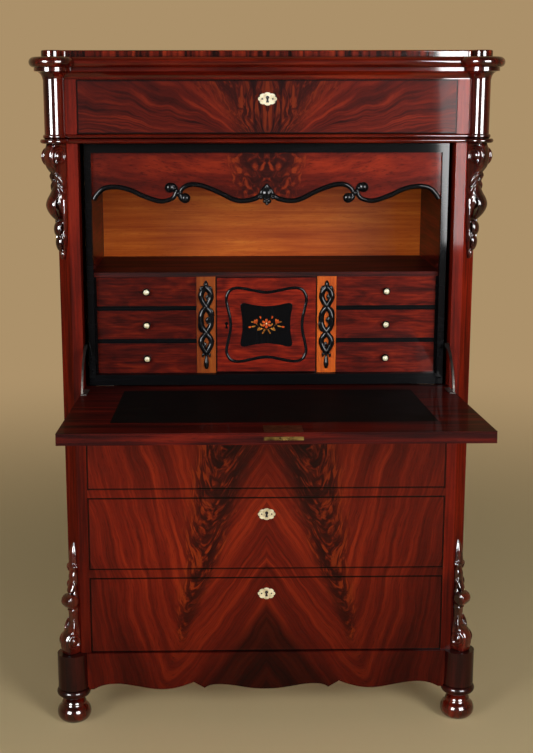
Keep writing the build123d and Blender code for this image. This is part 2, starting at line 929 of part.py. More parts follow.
# Lock of the fall: its plate lies flush inside, its forend in the outer edge
with BuildPart() as fall_lock:
    fall_block(
        lock_left, lock_right, lock_end - fall_lock_reach, lock_end, -forend_height / 2, top
    )
    fall_block(
        lock_left, lock_right, lock_end, fall_out, -forend_height / 2, forend_height / 2
    )
    for s in (-1, 1):
        x = fall_lock_offset + s * forend_bolt_gap / 2
        fall_block(
            x - forend_bolt, x + forend_bolt, fall_out - forend_bolt_depth, fall_out,
            -forend_bolt, forend_bolt, Mode.SUBTRACT,
        )
finish(fall_lock, "fall_lock")

# Pins that the fall turns on
with BuildPart() as fall_pins:
    for s in (-1, 1):
        with BuildSketch(Plane.YZ.offset(s * (fall_half - pin_length))):
            with Locations((front + pin_inset, pin_z)):
                Circle(pin_radius)
        extrude(amount=s * (2 * pin_length - fall_gap))
finish(fall_pins, "fall_pins")

# Quadrant stays: iron straps that stand on the fall and run back into the case
stay_out = half_open - stay_margin
stay_inner = stay_radius - stay_width
rise = fall_thick / 2


def stay_arc(s, outer_from, inner_from, depth):
    """A length of a stay's quadrant, up to its toe, from an angle on each of its edges."""
    side_on = Plane(
        origin=(s * stay_out, front + pin_inset, pin_z),
        x_dir=(0, -cos(tilt), sin(tilt)), z_dir=(-1, 0, 0),
    )
    with BuildSketch(side_on) as quadrant:
        with BuildLine():
            rim = CenterArc((0, 0), stay_radius, outer_from, stay_angle - outer_from)
            bore = CenterArc((0, 0), stay_inner, inner_from, stay_angle - inner_from)
            Line(rim @ 0, bore @ 0)
            Line(rim @ 1, bore @ 1)
        make_face()
    extrude(quadrant.sketch, amount=depth)


with BuildPart() as fall_stays:
    toe_from = stay_angle - degrees(toe_length / stay_radius)
    for s in (-1, 1):
        foot_outer = degrees(asin(rise / stay_radius))
        foot_inner = degrees(asin(rise / stay_inner))
        stay_arc(s, foot_outer, foot_inner, s * stay_thick)
        stay_arc(s, toe_from, toe_from, s * (seat - stay_margin))
        fall_block(
            s * stay_out, s * (stay_out - strap_width),
            stay_radius + strap_end - strap_length, stay_radius + strap_end,
            rise, rise + strap_thick,
        )
finish(fall_stays, "fall_stays")

# Iron stops on the stiles: the toe of each stay comes to rest on one
with BuildPart() as stay_stops:
    toe_turn = radians(180 - fall_rise - toe_from)
    for s in (-1, 1):
        deep = front + pin_inset + stay_inner * cos(toe_turn) - seat
        block(
            s * (fall_half + seat), s * half_open, deep - stop_depth, deep,
            pin_z + stay_inner * sin(toe_turn), pin_z + stay_radius,
        )
finish(stay_stops, "stay_stops")


def cartouche(width, height, y):
    """A cartouche with waisted sides and rounded corners, before the cupboard."""
    knee = (width / 2 * knee_share, height / 2 * knee_share)
    side = (width / 2, height / 2 * corner_share)
    head = (width / 2 * corner_share, height / 2)
    with BuildSketch(face_on(0, y)) as outline:
        with BuildLine():
            for sx, sy in ((1, 1), (1, -1), (-1, -1), (-1, 1)):
                ThreePointArc(
                    (sx * head[0], nest_middle_z + sy * head[1]),
                    (sx * knee[0], nest_middle_z + sy * knee[1]),
                    (sx * side[0], nest_middle_z + sy * side[1]),
                )
            for sx in (-1, 1):
                ThreePointArc(
                    (sx * side[0], nest_middle_z + side[1]),
                    (sx * side[0] * waist_share, nest_middle_z),
                    (sx * side[0], nest_middle_z - side[1]),
                )
            for sy in (-1, 1):
                ThreePointArc(
                    (head[0], nest_middle_z + sy * head[1]),
                    (0, nest_middle_z + sy * head[1] * waist_share),
                    (-head[0], nest_middle_z + sy * head[1]),
                )
        make_face()
    return outline.sketch


# Cupboard door, turning on pins in the shelf and in the fitment's floor
door_low = nest_floor + door_gap
door_high = shelf_z - door_gap
lock_y = nest_y + door_thick
with BuildPart() as cupboard_door:
    block(-door_half, door_half, nest_y, lock_y, door_low, door_high)
    hung = cupboard_door.edges().filter_by(Axis.Z).sort_by(lambda e: e.center().X)[-2:]
    fillet(hung.sort_by(Axis.Y)[0], door_round)
    for low, high in ((door_low, door_low + door_pin_length), (door_high - door_pin_length, door_high)):
        post(door_pin_x, door_pin_y, door_pin_radius + pin_fit, low, high, Mode.SUBTRACT)
    keyhole(key_x, nest_y, nest_middle_z, door_thick)
    block(
        -door_half, -door_half + door_lock_width, lock_y - door_lock_thick, lock_y,
        nest_middle_z - door_lock_height / 2, nest_middle_z + door_lock_height / 2,
        Mode.SUBTRACT,
    )
finish(cupboard_door, "cupboard_door")

# Cartouche moulding and the inlaid panel in its middle
with BuildPart() as door_moulding:
    extrude(cartouche(cartouche_width, cartouche_height, nest_y), amount=cartouche_proud)
    extrude(
        cartouche(
            cartouche_width - 2 * cartouche_bead, cartouche_height - 2 * cartouche_bead, nest_y
        ),
        amount=cartouche_proud, mode=Mode.SUBTRACT,
    )
    extrude(cartouche(panel_width, panel_height, nest_y), amount=panel_proud)
finish(door_moulding, "door_moulding")

# The door's pins and its lock
with BuildPart() as door_ironwork:
    for low in (door_low - door_pin_length, door_high - door_pin_length):
        post(
            door_pin_x, door_pin_y, door_pin_radius, low + door_gap,
            low + 2 * door_pin_length,
        )
    block(
        -door_half, -door_half + door_lock_width, lock_y - door_lock_thick, lock_y,
        nest_middle_z - door_lock_height / 2, nest_middle_z + door_lock_height / 2,
    )
finish(door_ironwork, "door_ironwork")


def drawer_box(x, y, width, length, low, high, side, bottom, rise):
    """The sides, back and bottom of a drawer, behind its front."""
    for s in (-1, 1):
        block(x + s * (width / 2 - side), x + s * width / 2, y, y + length, low, high)
    edge = width / 2 - side - glue
    block(x - edge, x + edge, y + length - side, y + length, low, high)
    block(x - edge, x + edge, y, y + length - side - glue, low + rise, low + rise + bottom)


def knob(x, y, z):
    """A turned knob that points out of a drawer front."""
    with BuildSketch(Plane.XY.offset(z)) as section:
        with BuildLine():
            neck = (x + knob_neck, y - knob_neck_length)
            tip = (x + knob_neck / 2, y - knob_length)
            Polyline(tip, (x, y - knob_length), (x, y), (x + knob_neck, y), neck)
            ThreePointArc(
                neck, (x + knob_radius, y - (knob_length + knob_neck_length) / 2), tip
            )
        make_face()
    revolve(section.sketch, axis=Axis((x, y, z), (0, 1, 0)))


# Small drawers, three each side of the cupboard
small_width = nest_half - pilaster_out - 2 * small_gap
small_length = fit_back - nest_y - small_tail
for side_name, s in sides:
    for level_name, low, space in (
        ("lower", nest_floor, lower_nest_space),
        ("middle", middle_nest, middle_nest_space),
        ("upper", upper_nest, upper_nest_space),
    ):
        with BuildPart() as small_drawer:
            x = s * (nest_half + pilaster_out) / 2
            base = low + seat
            top_z = low + space - small_gap
            block(
                x - small_width / 2, x + small_width / 2, nest_y, nest_y + small_front,
                base, top_z,
            )
            drawer_box(
                x, nest_y + small_front + glue, small_width, small_length - small_front,
                base, top_z - small_drop, small_side, small_bottom, small_side,
            )
            knob(x, nest_y - glue, (base + top_z) / 2)
        finish(small_drawer, f"small_drawer_{level_name}_{side_name}")


def escutcheon(z, grow):
    """The lobed oval of a keyhole plate."""
    with BuildSketch(face_on(0, front - escutcheon_proud)) as plate:
        with Locations((0, z)):
            Circle(escutcheon_height / 2 + grow)
        reach = escutcheon_width / 2 - escutcheon_lobe
        with Locations((-reach, z), (reach, z)):
            Circle(escutcheon_lobe + grow)
    return plate.sketch


# Long drawers and the frieze drawer
for name, low, space in (
    ("frieze", frieze_floor, frieze_space),
    ("upper", upper_floor, upper_drawer_space),
    ("middle", middle_floor, middle_drawer_space),
    ("lower", plinth_top, lower_drawer_space),
):
    base = low + seat
    top_z = low + space - slack
    key_z = top_z - lock_drop
    lock_z = key_z - lock_below
    inside = front + front_thick
    with BuildPart() as drawer_front:
        block(
            slack - half_open, half_open - slack, front, inside, low + slack, top_z
        )
        block(
            -lock_width / 2, lock_width / 2, inside - lock_thick, inside, lock_z, top_z,
            Mode.SUBTRACT,
        )
        extrude(
            escutcheon(key_z, pin_fit), amount=-escutcheon_thick - pin_fit, mode=Mode.SUBTRACT
        )
        keyhole(0, front, key_z, front_thick)
    finish(drawer_front, f"{name}_drawer_front")
    with BuildPart() as box:
        drawer_box(
            0, inside, 2 * (half_open - fall_gap), inner_back - box_tail - inside,
            base, top_z - box_drop, box_thick, bottom_thick, groove,
        )
    finish(box, f"{name}_drawer_box")
    with BuildPart() as drawer_lock:
        block(-lock_width / 2, lock_width / 2, inside - lock_thick, inside, lock_z, top_z)
        extrude(escutcheon(key_z, 0), amount=-escutcheon_thick)
        keyhole(0, front - escutcheon_proud, key_z, front_thick)
    finish(drawer_lock, f"{name}_drawer_lock")

print("total height", plateau_z + plateau_thick, "front plane", front)
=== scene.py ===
import math

import bmesh
import bpy
from mathutils import Matrix, Vector


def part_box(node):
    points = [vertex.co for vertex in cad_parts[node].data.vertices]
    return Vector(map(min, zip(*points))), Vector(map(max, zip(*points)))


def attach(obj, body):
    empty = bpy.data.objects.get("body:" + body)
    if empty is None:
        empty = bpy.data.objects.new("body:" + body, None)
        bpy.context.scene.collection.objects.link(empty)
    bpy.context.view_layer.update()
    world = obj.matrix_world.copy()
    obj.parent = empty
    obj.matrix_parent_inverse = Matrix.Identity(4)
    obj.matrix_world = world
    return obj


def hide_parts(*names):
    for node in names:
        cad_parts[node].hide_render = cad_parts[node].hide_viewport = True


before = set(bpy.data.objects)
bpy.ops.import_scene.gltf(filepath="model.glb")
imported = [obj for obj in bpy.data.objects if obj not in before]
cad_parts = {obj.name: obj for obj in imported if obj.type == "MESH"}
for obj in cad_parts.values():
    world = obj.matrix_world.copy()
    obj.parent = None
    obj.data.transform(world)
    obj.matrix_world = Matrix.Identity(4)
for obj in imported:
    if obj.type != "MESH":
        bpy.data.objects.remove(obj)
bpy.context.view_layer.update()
millimetre = 0.001

# Planes of the cabinet that the added pieces are set out from
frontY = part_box("stile_right")[0].y                 # face of the stiles and drawers
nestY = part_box("pilasters")[0].y                    # face of the small drawers
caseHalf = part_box("stile_right")[1].x               # half the width of the case


def linearColour(hexText):
    channels = [int(hexText[i:i + 2], 16) / 255 for i in (1, 3, 5)]
    return tuple(c / 12.92 if c <= 0.04045 else ((c + 0.055) / 1.055) ** 2.4 for c in channels) + (1.0,)


def fillSockets(tree, node, inputs):
    for name, value in inputs.items():
        if isinstance(value, bpy.types.NodeSocket):
            tree.links.new(value, node.inputs[name])
        else:
            node.inputs[name].default_value = value


def addNode(tree, kind, inputs=(), stops=(), outlet=0, **settings):
    # Inputs go to the sockets in turn, or to those that a dictionary names; outlet None gives all outputs
    node = tree.nodes.new("ShaderNode" + kind)
    for name, value in settings.items():
        setattr(node, name, value)
    fillSockets(tree, node, inputs if isinstance(inputs, dict) else dict(enumerate(inputs)))
    if stops:
        ramp = node.color_ramp
        while len(ramp.elements) < len(stops):
            ramp.elements.new(0.5)
        for element, (position, hexText) in zip(ramp.elements, stops):
            element.position = position
            element.color = linearColour(hexText)
    return node.outputs if outlet is None else node.outputs[outlet]


def startMaterial(name, sockets):
    material = bpy.data.materials.new(name)
    material.use_nodes = True
    tree = material.node_tree
    shader = tree.nodes["Principled BSDF"]
    fillSockets(tree, shader, sockets)
    return material, tree, shader


def grainNoise(tree, axis, ratio, spotMm, detail=2.0, wave=0.0):
    # Object coordinates squeezed along the grain, so that a round spot of noise becomes a streak
    place = addNode(tree, "TexCoord", outlet="Object")
    scale = [1.0, 1.0, 1.0]
    scale["XYZ".index(axis)] = 1 / ratio
    squeezed = addNode(tree, "Mapping", {"Vector": place, "Scale": scale})
    return addNode(tree, "TexNoise", {
        "Vector": squeezed, "Scale": 1000 / spotMm, "Detail": detail, "Distortion": wave})


def toneBy(tree, colour, value, fromLow, fromHigh, toLow, toHigh=1.0):
    # Darkens or lifts a colour as a value runs from low to high
    tone = addNode(tree, "MapRange", (value, fromLow, fromHigh, toLow, toHigh))
    return addNode(tree, "VectorMath", {0: colour, "Scale": tone}, operation="SCALE")


def inkPores(tree, colour, pores, look, stops):
    # Filled pores are short lines in the darkest of the wood's colours
    share = addNode(tree, "MapRange", (pores, *look["pores"]))
    ink = linearColour(stops[0][1])
    return addNode(tree, "Mix", {0: share, 6: colour, 7: ink}, outlet=2, data_type="RGBA")


def edgeDistance(tree, place, node):
    # How far a point of a front lies from the nearest edge of that front
    low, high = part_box(node)
    rise = addNode(tree, "Math", (place["Z"], (low.z + high.z) / 2), operation="SUBTRACT")
    toEdge = [high.x, (high.z - low.z) / 2]
    for i, offset in enumerate((place["X"], rise)):
        away = addNode(tree, "Math", [offset], operation="ABSOLUTE")
        toEdge[i] = addNode(tree, "Math", (toEdge[i], away), operation="SUBTRACT")
    return addNode(tree, "Math", toEdge, operation="MINIMUM")


def facingUp(tree):
    return addNode(tree, "SeparateXYZ", [addNode(tree, "TexCoord", outlet="Normal")], outlet="Z")


# Shellac: a thin hard coat that mirrors sharply. A front darkens in a line at its edges, painted shadow of the
# gap round it over some polish build-up, and hollows darken with painted shade
polishAndPaintedShade = {
    "coatRoughness": 0.045, "poreDeepMm": 0.4,
    # Painted shadow of the gap round a front, over polish build-up at its edge
    "edge": (0.0014, 0.0034, 0.06),                 # metres from the edge, from and to, and the tone there
    "hollowShade": (0.3, 0.9, 0.08), "hollowShadeRays": 8,    # openness of the hollow, from and to, and the tone there
}
mahogany = {
    "roughness": 0.4, "coat": 0.3, "specular": 0.015, "bandMm": 34, "bandRatio": 9, "streakMm": 5,
    "streakRatio": 30, "streakShare": 0.42, "poreMm": 1.3, "poreRatio": 14, "pores": (0.6, 0.7, 0.0, 0.45),
    "bump": 0.12, "wave": 0.6,
    "stops": [(0.3, "#2a0502"), (0.45, "#4e0e05"), (0.56, "#681507"), (0.7, "#80220d")],
}
darkStops = [(0.32, "#150302"), (0.46, "#340703"), (0.58, "#561006"), (0.72, "#701c0b")]
darkMahogany = {**mahogany, "stops": darkStops}
mouldedLook = {
    # Painted shade in the hollows and under the mouldings
    **mahogany, "coat": 0.8, "roughness": 0.3, "hollowShadeMm": 14,
    "stops": [(0.3, "#280503"), (0.45, "#480c05"), (0.56, "#641507"), (0.7, "#7e220c")],
}
topLook = {
    **mouldedLook, "crossMm": 13, "crossRatio": 20, "flatFrom": 0.5,
    "stops": [(0.36, "#140202"), (0.46, "#3c0a04"), (0.55, "#661507"), (0.66, "#8a2a10")],
}
carvedLook = {
    # Painted shade in the hollows of the carving
    **darkMahogany, "coat": 1.0, "specular": 0.06, "roughness": 0.3, "hollowShadeMm": 8, "streakShare": 0.3,
    "bump": 0.06,
}
turnedLook = {**carvedLook, "roughness": 0.25, "bump": 0.03}
blockLook = {
    **turnedLook, "coat": 0.35, "specular": 0.05, "roughness": 0.35,
    "stops": [(0.32, "#120202"), (0.46, "#240503"), (0.58, "#360804"), (0.72, "#480d06")],
}
stileLook = {
    **mahogany, "coat": 0.11,
    # Painted light: tone at the left and the right side, lighter where the lamps fall; painted shade at the
    # foot, with the heights that it fades between
    "paintedSideLight": (1.3, 1.75), "paintedFootShade": (0.2, 1.2, 0.35),
}
fallLook = {**darkMahogany, "coat": 0.05, "roughness": 0.5, "belowFrom": -0.7}
nestLook = {
    **mahogany, "bandMm": 30, "bandRatio": 3.2, "wave": 1.6, "streakMm": 4, "streakRatio": 16,
    # Painted light: lighter at the right side than the left
    "paintedSideLight": (0.6, 1.2),
    "stops": [(0.3, "#220402"), (0.45, "#490c05"), (0.56, "#641407"), (0.72, "#86250d")],
}
smallDrawerLook = {**nestLook, "knobMm": 0.2, "knobHex": "#040202", "frontMm": 12, "liningHex": "#66341c"}
# Painted light lighter to the right, and a painted shadow of the gap round the door's edges
doorLook = {**smallDrawerLook, "paintedSideLight": (1.55, 1.8), "gapShadeNode": "cupboard_door"}
shelfLook = {**darkMahogany, "coat": 0.03, "specular": 0.03, "roughness": 0.55}
flowerInlay = {
    **mahogany, "bandMm": 7, "bandRatio": 2, "streakMm": 1.6, "streakRatio": 6, "bump": 0.1,
    "stops": [(0.3, "#a83410"), (0.5, "#d2541c"), (0.62, "#dd6a28"), (0.75, "#e88a45")],
}
leafInlay = {
    **flowerInlay, "stops": [(0.3, "#7c4a18"), (0.5, "#b57a30"), (0.62, "#c8762c"), (0.75, "#d9a562")],
}
glowMahogany = {
    **mahogany, "bandMm": 60, "bandRatio": 6, "streakMm": 6, "coat": 0.08, "specular": 0.03,
    "stops": [(0.3, "#94380c"), (0.45, "#b24e13"), (0.56, "#c4601a"), (0.7, "#d87a26")],
}
# Painted light: the right pilaster lighter than the left
pilasterLook = {**glowMahogany, "paintedSideLight": (-0.4, 2.2)}
ebony = {
    **mahogany, "coat": 0.25, "specular": 0.01, "bump": 0.04,
    "stops": [(0.3, "#030304"), (0.5, "#060608"), (0.62, "#09090c"), (0.75, "#0e0e12")],
}
glossEbony = {
    **ebony, "roughness": 0.35, "coat": 0.15, "specular": 0.02, "rippleMm": 1.5, "rippleDeepMm": 1.8,
}
carcase = {
    **mahogany, "roughness": 0.62, "coat": 0.0, "specular": 0.4, "bandMm": 40, "bandRatio": 12, "streakMm": 7,
    "streakRatio": 40, "streakShare": 0.5, "bump": 0.35,
    "stops": [(0.3, "#5f3d20"), (0.45, "#8a6238"), (0.58, "#a57c4c"), (0.72, "#b98f5c")],
}

# Crotch veneers: two heights above the floor, and the plume's spine and half width at each, in metres
drawerVeneer = {
    "roughness": 0.4, "coat": 0.2, "specular": 0.015, "bump": 0.1, "seed": 0.31, "wanderMm": 120,
    "wanderBy": 0.035, "heights": (0.166, 0.73), "spine": (0.205, 0.07), "plumeHalf": (0.02, 0.092),
    "soft": 0.02, "rise": 2.2, "stretch": 0.22, "streakMm": 20, "bandMm": 110, "streakShare": 0.4,
    "fleckStretch": 1.1, "knotMm": 21, "knotTwist": 0.9, "ragged": 0.9, "rim": (0.6, 1.15),
    "lean": 0.1, "poreMm": 2.4, "pores": (0.58, 0.7, 0.0, 0.4), "plume": 0.88,
    # Painted light and shade: lighter at the left side than the right, and darker towards the foot
    "paintedSideLight": (1.2, 0.74), "paintedFootShade": (0.08, 0.42, 0.58),
    "tongue": (1.3, 0.25, 0.31, 0.27),              # slope of its sides, heights of its top, and its tone
    "stops": [(0.3, "#2a0402"), (0.42, "#470c04"), (0.52, "#611407"), (0.66, "#85250d")],
    "featherStops": [(0.38, "#150303"), (0.49, "#2c0703"), (0.56, "#521205"), (0.66, "#7e2a0b")],
}
uprightVeneer = {
    **drawerVeneer, "spine": (0.0, 0.0), "lean": 0.0, "paintedSideLight": (1.0, 1.0),
    "paintedFootShade": None, "tongue": None,
}
friezeVeneer = {
    **uprightVeneer, "coat": 0.06, "seed": 0.77, "heights": (1.33, 1.45), "plumeHalf": (0.06, 0.15),
    "fanFoot": 1.3, "fanSpread": 0.1, "soft": 0.01, "streakMm": 15, "bandMm": 60, "plume": 0.85,
    # Painted light: lighter at the right side than the left
    "paintedSideLight": (0.6, 1.0), "knotMm": 14, "wanderMm": 95, "wanderBy": 0.05,
}
outsideVeneer = {
    **uprightVeneer, "seed": 2.6, "heights": (0.8, 1.32), "plumeHalf": (0.03, 0.2), "soft": 0.012,
    "plume": 0.9, "knotMm": 30,
}
apronVeneer = {
    **uprightVeneer, "seed": 1.9, "heights": (1.18, 1.3), "plumeHalf": (0.07, 0.09), "rise": 0.12,
    # Painted light: lighter at the right side than the left
    "stretch": 0.2, "streakMm": 11, "plume": 0.9, "paintedSideLight": (0.75, 1.5),
}


def crotchColour(tree, look, place):
    # Two leaves of crotch mahogany opened like a book about the middle of the front
    across = addNode(tree, "Math", [place["X"]], operation="ABSOLUTE")
    leaf = addNode(tree, "CombineXYZ", (across, look["seed"], place["Z"]))
    wander = addNode(tree, "TexNoise", {
        "Vector": leaf, "Scale": 1000 / look["wanderMm"], "Detail": 2.0}, outlet="Color")
    drift = addNode(tree, "VectorMath", (wander, (0.5, 0.5, 0.5)), operation="SUBTRACT")
    pull = addNode(tree, "VectorMath", {0: drift, "Scale": look["wanderBy"]}, operation="SCALE")
    warped = addNode(tree, "VectorMath", (leaf, pull), operation="ADD")
    bent = addNode(tree, "SeparateXYZ", [warped], outlet=None)
    # The plume's spine leans outwards as it runs down, and the fibres rise from it on both sides
    spine, width = (
        addNode(tree, "MapRange", (place["Z"], *look["heights"], *look[key]), clamp=False)
        for key in ("spine", "plumeHalf"))
    offset = addNode(tree, "Math", (bent["X"], spine), operation="SUBTRACT")
    square = addNode(tree, "Math", (offset, offset, look["soft"] ** 2), operation="MULTIPLY_ADD")
    away = addNode(tree, "Math", (square, 0.5), operation="POWER")
    climb = addNode(tree, "Math", (away, -look["rise"], bent["Z"]), operation="MULTIPLY_ADD")
    along = addNode(tree, "Math", (offset, look["stretch"]), operation="MULTIPLY")
    if "fanSpread" in look:  # fibres fan up from the foot of the middle
        height = addNode(tree, "Math", (bent["Z"], look["fanFoot"]), operation="SUBTRACT")
        fan = addNode(tree, "Math", (bent["X"], height), operation="DIVIDE")
        climb = addNode(tree, "Math", (fan, look["fanSpread"]), operation="MULTIPLY")
    fibre = addNode(tree, "CombineXYZ", (climb, along, look["seed"]))
    streaks, bands, pores = (
        addNode(tree, "TexNoise", {"Vector": fibre, "Scale": 1000 / look[key], "Detail": detail})
        for key, detail in (("streakMm", 4.0), ("bandMm", 2.0), ("poreMm", 1.0)))
    share = addNode(tree, "Mix", {0: look["streakShare"], 2: bands, 3: streaks}, data_type="FLOAT")
    plain = addNode(tree, "ValToRGB", [share], look["stops"])
    flick = addNode(tree, "Math", (offset, look["fleckStretch"]), operation="MULTIPLY")
    feathered = addNode(tree, "CombineXYZ", (climb, flick, bent["Y"]))
    knots = addNode(tree, "TexNoise", {
        "Vector": feathered, "Scale": 1000 / look["knotMm"], "Detail": 4.0, "Distortion": look["knotTwist"]})
    # The plume is smooth and dark on its inner side, and breaks into feathers on the outer
    lean = addNode(tree, "Math", (offset, width), operation="DIVIDE")
    tilted = addNode(tree, "Math", (lean, look["lean"], knots), operation="MULTIPLY_ADD")
    feather = addNode(tree, "ValToRGB", [tilted], look["featherStops"])
    ragged = addNode(tree, "Math", (knots, -look["ragged"], look["ragged"] / 2), operation="MULTIPLY_ADD")
    near = addNode(tree, "Math", (away, width), operation="DIVIDE")
    rim = addNode(tree, "Math", (near, ragged), operation="ADD")
    mask = addNode(tree, "MapRange", (
        rim, *look["rim"], look["plume"], 0.0), interpolation_type="SMOOTHSTEP")
    figured = addNode(tree, "Mix", {0: mask, 6: plain, 7: feather}, outlet=2, data_type="RGBA")
    figured = inkPores(tree, figured, pores, look, look["featherStops"])
    if look["tongue"]:  # a dark tongue rises from the foot of the middle
        slope, low, high, tone = look["tongue"]
        reach = addNode(tree, "Math", (across, slope, place["Z"]), operation="MULTIPLY_ADD")
        figured = toneBy(tree, figured, reach, low, high, tone)
    return figured, pores


def grainColour(tree, look, place, axis):
    # Straight grain: slow bands of colour, finer streaks over them, and pores
    bands = grainNoise(tree, axis, look["bandRatio"], look["bandMm"], 3.0, look["wave"])
    streaks = grainNoise(tree, axis, look["streakRatio"], look["streakMm"], 3.0)
    share = addNode(tree, "Mix", {0: look["streakShare"], 2: bands, 3: streaks}, data_type="FLOAT")
    if "crossMm" in look:  # the upright edge is veneered across, the flat top along
        level = addNode(tree, "Math", [facingUp(tree)], operation="ABSOLUTE")
        edge = addNode(tree, "Math", (level, look["flatFrom"]), operation="LESS_THAN")
        crossed = grainNoise(tree, "Z", look["crossRatio"], look["crossMm"], 3.0)
        share = addNode(tree, "Mix", {0: edge, 2: share, 3: crossed}, data_type="FLOAT")
    pores = grainNoise(tree, axis, look["poreRatio"], look["poreMm"], 1.0)
    colour = inkPores(tree, addNode(tree, "ValToRGB", [share], look["stops"]), pores, look, look["stops"])
    if "knobHex" in look:  # ebonised knobs stand before the face, and pale lining lies behind it
        parts = (("LESS_THAN", -look["knobMm"], "knobHex"), ("GREATER_THAN", look["frontMm"], "liningHex"))
        for side, depth, tint in parts:
            part = addNode(tree, "Math", (place["Y"], nestY + depth * millimetre), operation=side)
            colour = addNode(tree, "Mix", {
                0: part, 6: colour, 7: linearColour(look[tint])}, outlet=2, data_type="RGBA")
    if "outside" in look:  # the face below the open fall shows the veneer of the closed front
        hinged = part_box("fall_board")[1]
        height = addNode(tree, "Math", (hinged.z + hinged.y, place["Y"]), operation="SUBTRACT")
        figured = crotchColour(tree, look["outside"], {"X": place["X"], "Z": height})[0]
        below = addNode(tree, "Math", (facingUp(tree), look["belowFrom"]), operation="LESS_THAN")
        colour = addNode(tree, "Mix", {0: below, 6: colour, 7: figured}, outlet=2, data_type="RGBA")
    return colour, pores


def polishedWood(name, look, axis):
    # French polish over filled grain: deep gloss, the wood's figure below it, pores only just felt
    material, tree, shader = startMaterial(name, {
        "Roughness": look["roughness"], "Specular IOR Level": look["specular"], "Coat Weight": look["coat"],
        "Coat Roughness": polishAndPaintedShade["coatRoughness"]})
    place = addNode(tree, "SeparateXYZ", [addNode(tree, "TexCoord", outlet="Object")], outlet=None)
    colour, pores = grainColour(tree, look, place, axis) if axis else crotchColour(tree, look, place)
    # Painted light: the colour lightens from one side of the case to the other, as the lamps fall on it
    if "paintedSideLight" in look:
        colour = toneBy(tree, colour, place["X"], -caseHalf, caseHalf, *look["paintedSideLight"])
    # Painted shade: darker towards the foot
    if look.get("paintedFootShade"):
        colour = toneBy(tree, colour, place["Z"], *look["paintedFootShade"])
    # Painted shadow of the gap round the front, with some polish build-up, as a dark line at its edges
    if "gapShadeNode" in look:
        colour = toneBy(tree, colour, edgeDistance(tree, place, look["gapShadeNode"]), *polishAndPaintedShade["edge"])
    # Painted shade in the hollows of carving and under mouldings, by how open each point is
    if "hollowShadeMm" in look:
        hollowShade = addNode(tree, "AmbientOcclusion", {
            "Distance": look["hollowShadeMm"] * millimetre}, outlet="AO", samples=polishAndPaintedShade["hollowShadeRays"])
        colour = toneBy(tree, colour, hollowShade, *polishAndPaintedShade["hollowShade"])
    normal = addNode(tree, "Bump", {
        "Strength": look["bump"], "Distance": polishAndPaintedShade["poreDeepMm"] * millimetre, "Height": pores},
        invert=True)
    if "rippleMm" in look:  # the gouge leaves carving slightly uneven
        uneven = grainNoise(tree, "Z", 1, look["rippleMm"], 0.0)
        normal = addNode(tree, "Bump", {
            "Distance": look["rippleDeepMm"] * millimetre, "Height": uneven, "Normal": normal})
    fillSockets(tree, shader, {"Base Color": colour, "Normal": normal})
    return material


def handledSurface(name, look):
    # The tone drifts slowly over the piece, the gloss with it, and fine marks of the making are felt
    material, tree, shader = startMaterial(name, look["sockets"])
    place = addNode(tree, "TexCoord", outlet="Object")
    drift = addNode(tree, "TexNoise", {
        "Vector": place, "Scale": 1000 / look["driftMm"], "Detail": look["driftDetail"]})
    found = {"Base Color": addNode(tree, "ValToRGB", [drift], look["stops"])}
    if "gloss" in look:
        found["Roughness"] = addNode(tree, "MapRange", (drift, 0.0, 1.0, *look["gloss"]))
    if "pebbleMm" in look:
        marks = addNode(tree, "TexVoronoi", {"Vector": place, "Scale": 1000 / look["pebbleMm"]})
    else:
        marks = grainNoise(tree, "X", look["markRatio"], look["markMm"])
    found["Normal"] = addNode(tree, "Bump", {
        "Strength": look["bump"], "Distance": look["deepMm"] * millimetre, "Height": marks})
    fillSockets(tree, shader, found)
    return material


# Calf skiver let into the fall: black, tight grained, polished by use
blackSkiver = {
    "sockets": {"Specular IOR Level": 0.02}, "gloss": (0.54, 0.7), "driftMm": 90, "driftDetail": 3.0,
    "pebbleMm": 1.6, "bump": 0.25, "deepMm": 0.3, "stops": [(0.35, "#020202"), (0.65, "#070605")],
}
# Cast and filed metal under old lacquer: soft shine with tarnish in patches
darkBronze = {
    "sockets": {"Metallic": 1.0}, "gloss": (0.46, 0.26), "driftMm": 16, "driftDetail": 4.0, "markMm": 1.2,
    "markRatio": 20, "bump": 0.15, "deepMm": 0.2,
    "stops": [(0.3, "#1a1208"), (0.5, "#3a2a12"), (0.72, "#66502a")],
}
wroughtIron = {
    **darkBronze, "sockets": {"Metallic": 0.9}, "gloss": (0.57, 0.37), "driftMm": 12, "markMm": 1.5,
    "stops": [(0.3, "#1c1a19"), (0.55, "#35312e"), (0.75, "#4c443d")],
}
# Sawn and polished bone: cream, faintly streaked, with fine canals
creamBone = {
    "sockets": {"Roughness": 0.32}, "driftMm": 9, "driftDetail": 3.0, "markMm": 0.8, "markRatio": 8,
    "bump": 0.15, "deepMm": 0.2, "stops": [(0.3, "#b9a678"), (0.5, "#ddcfa6"), (0.7, "#efe4c4")],
}

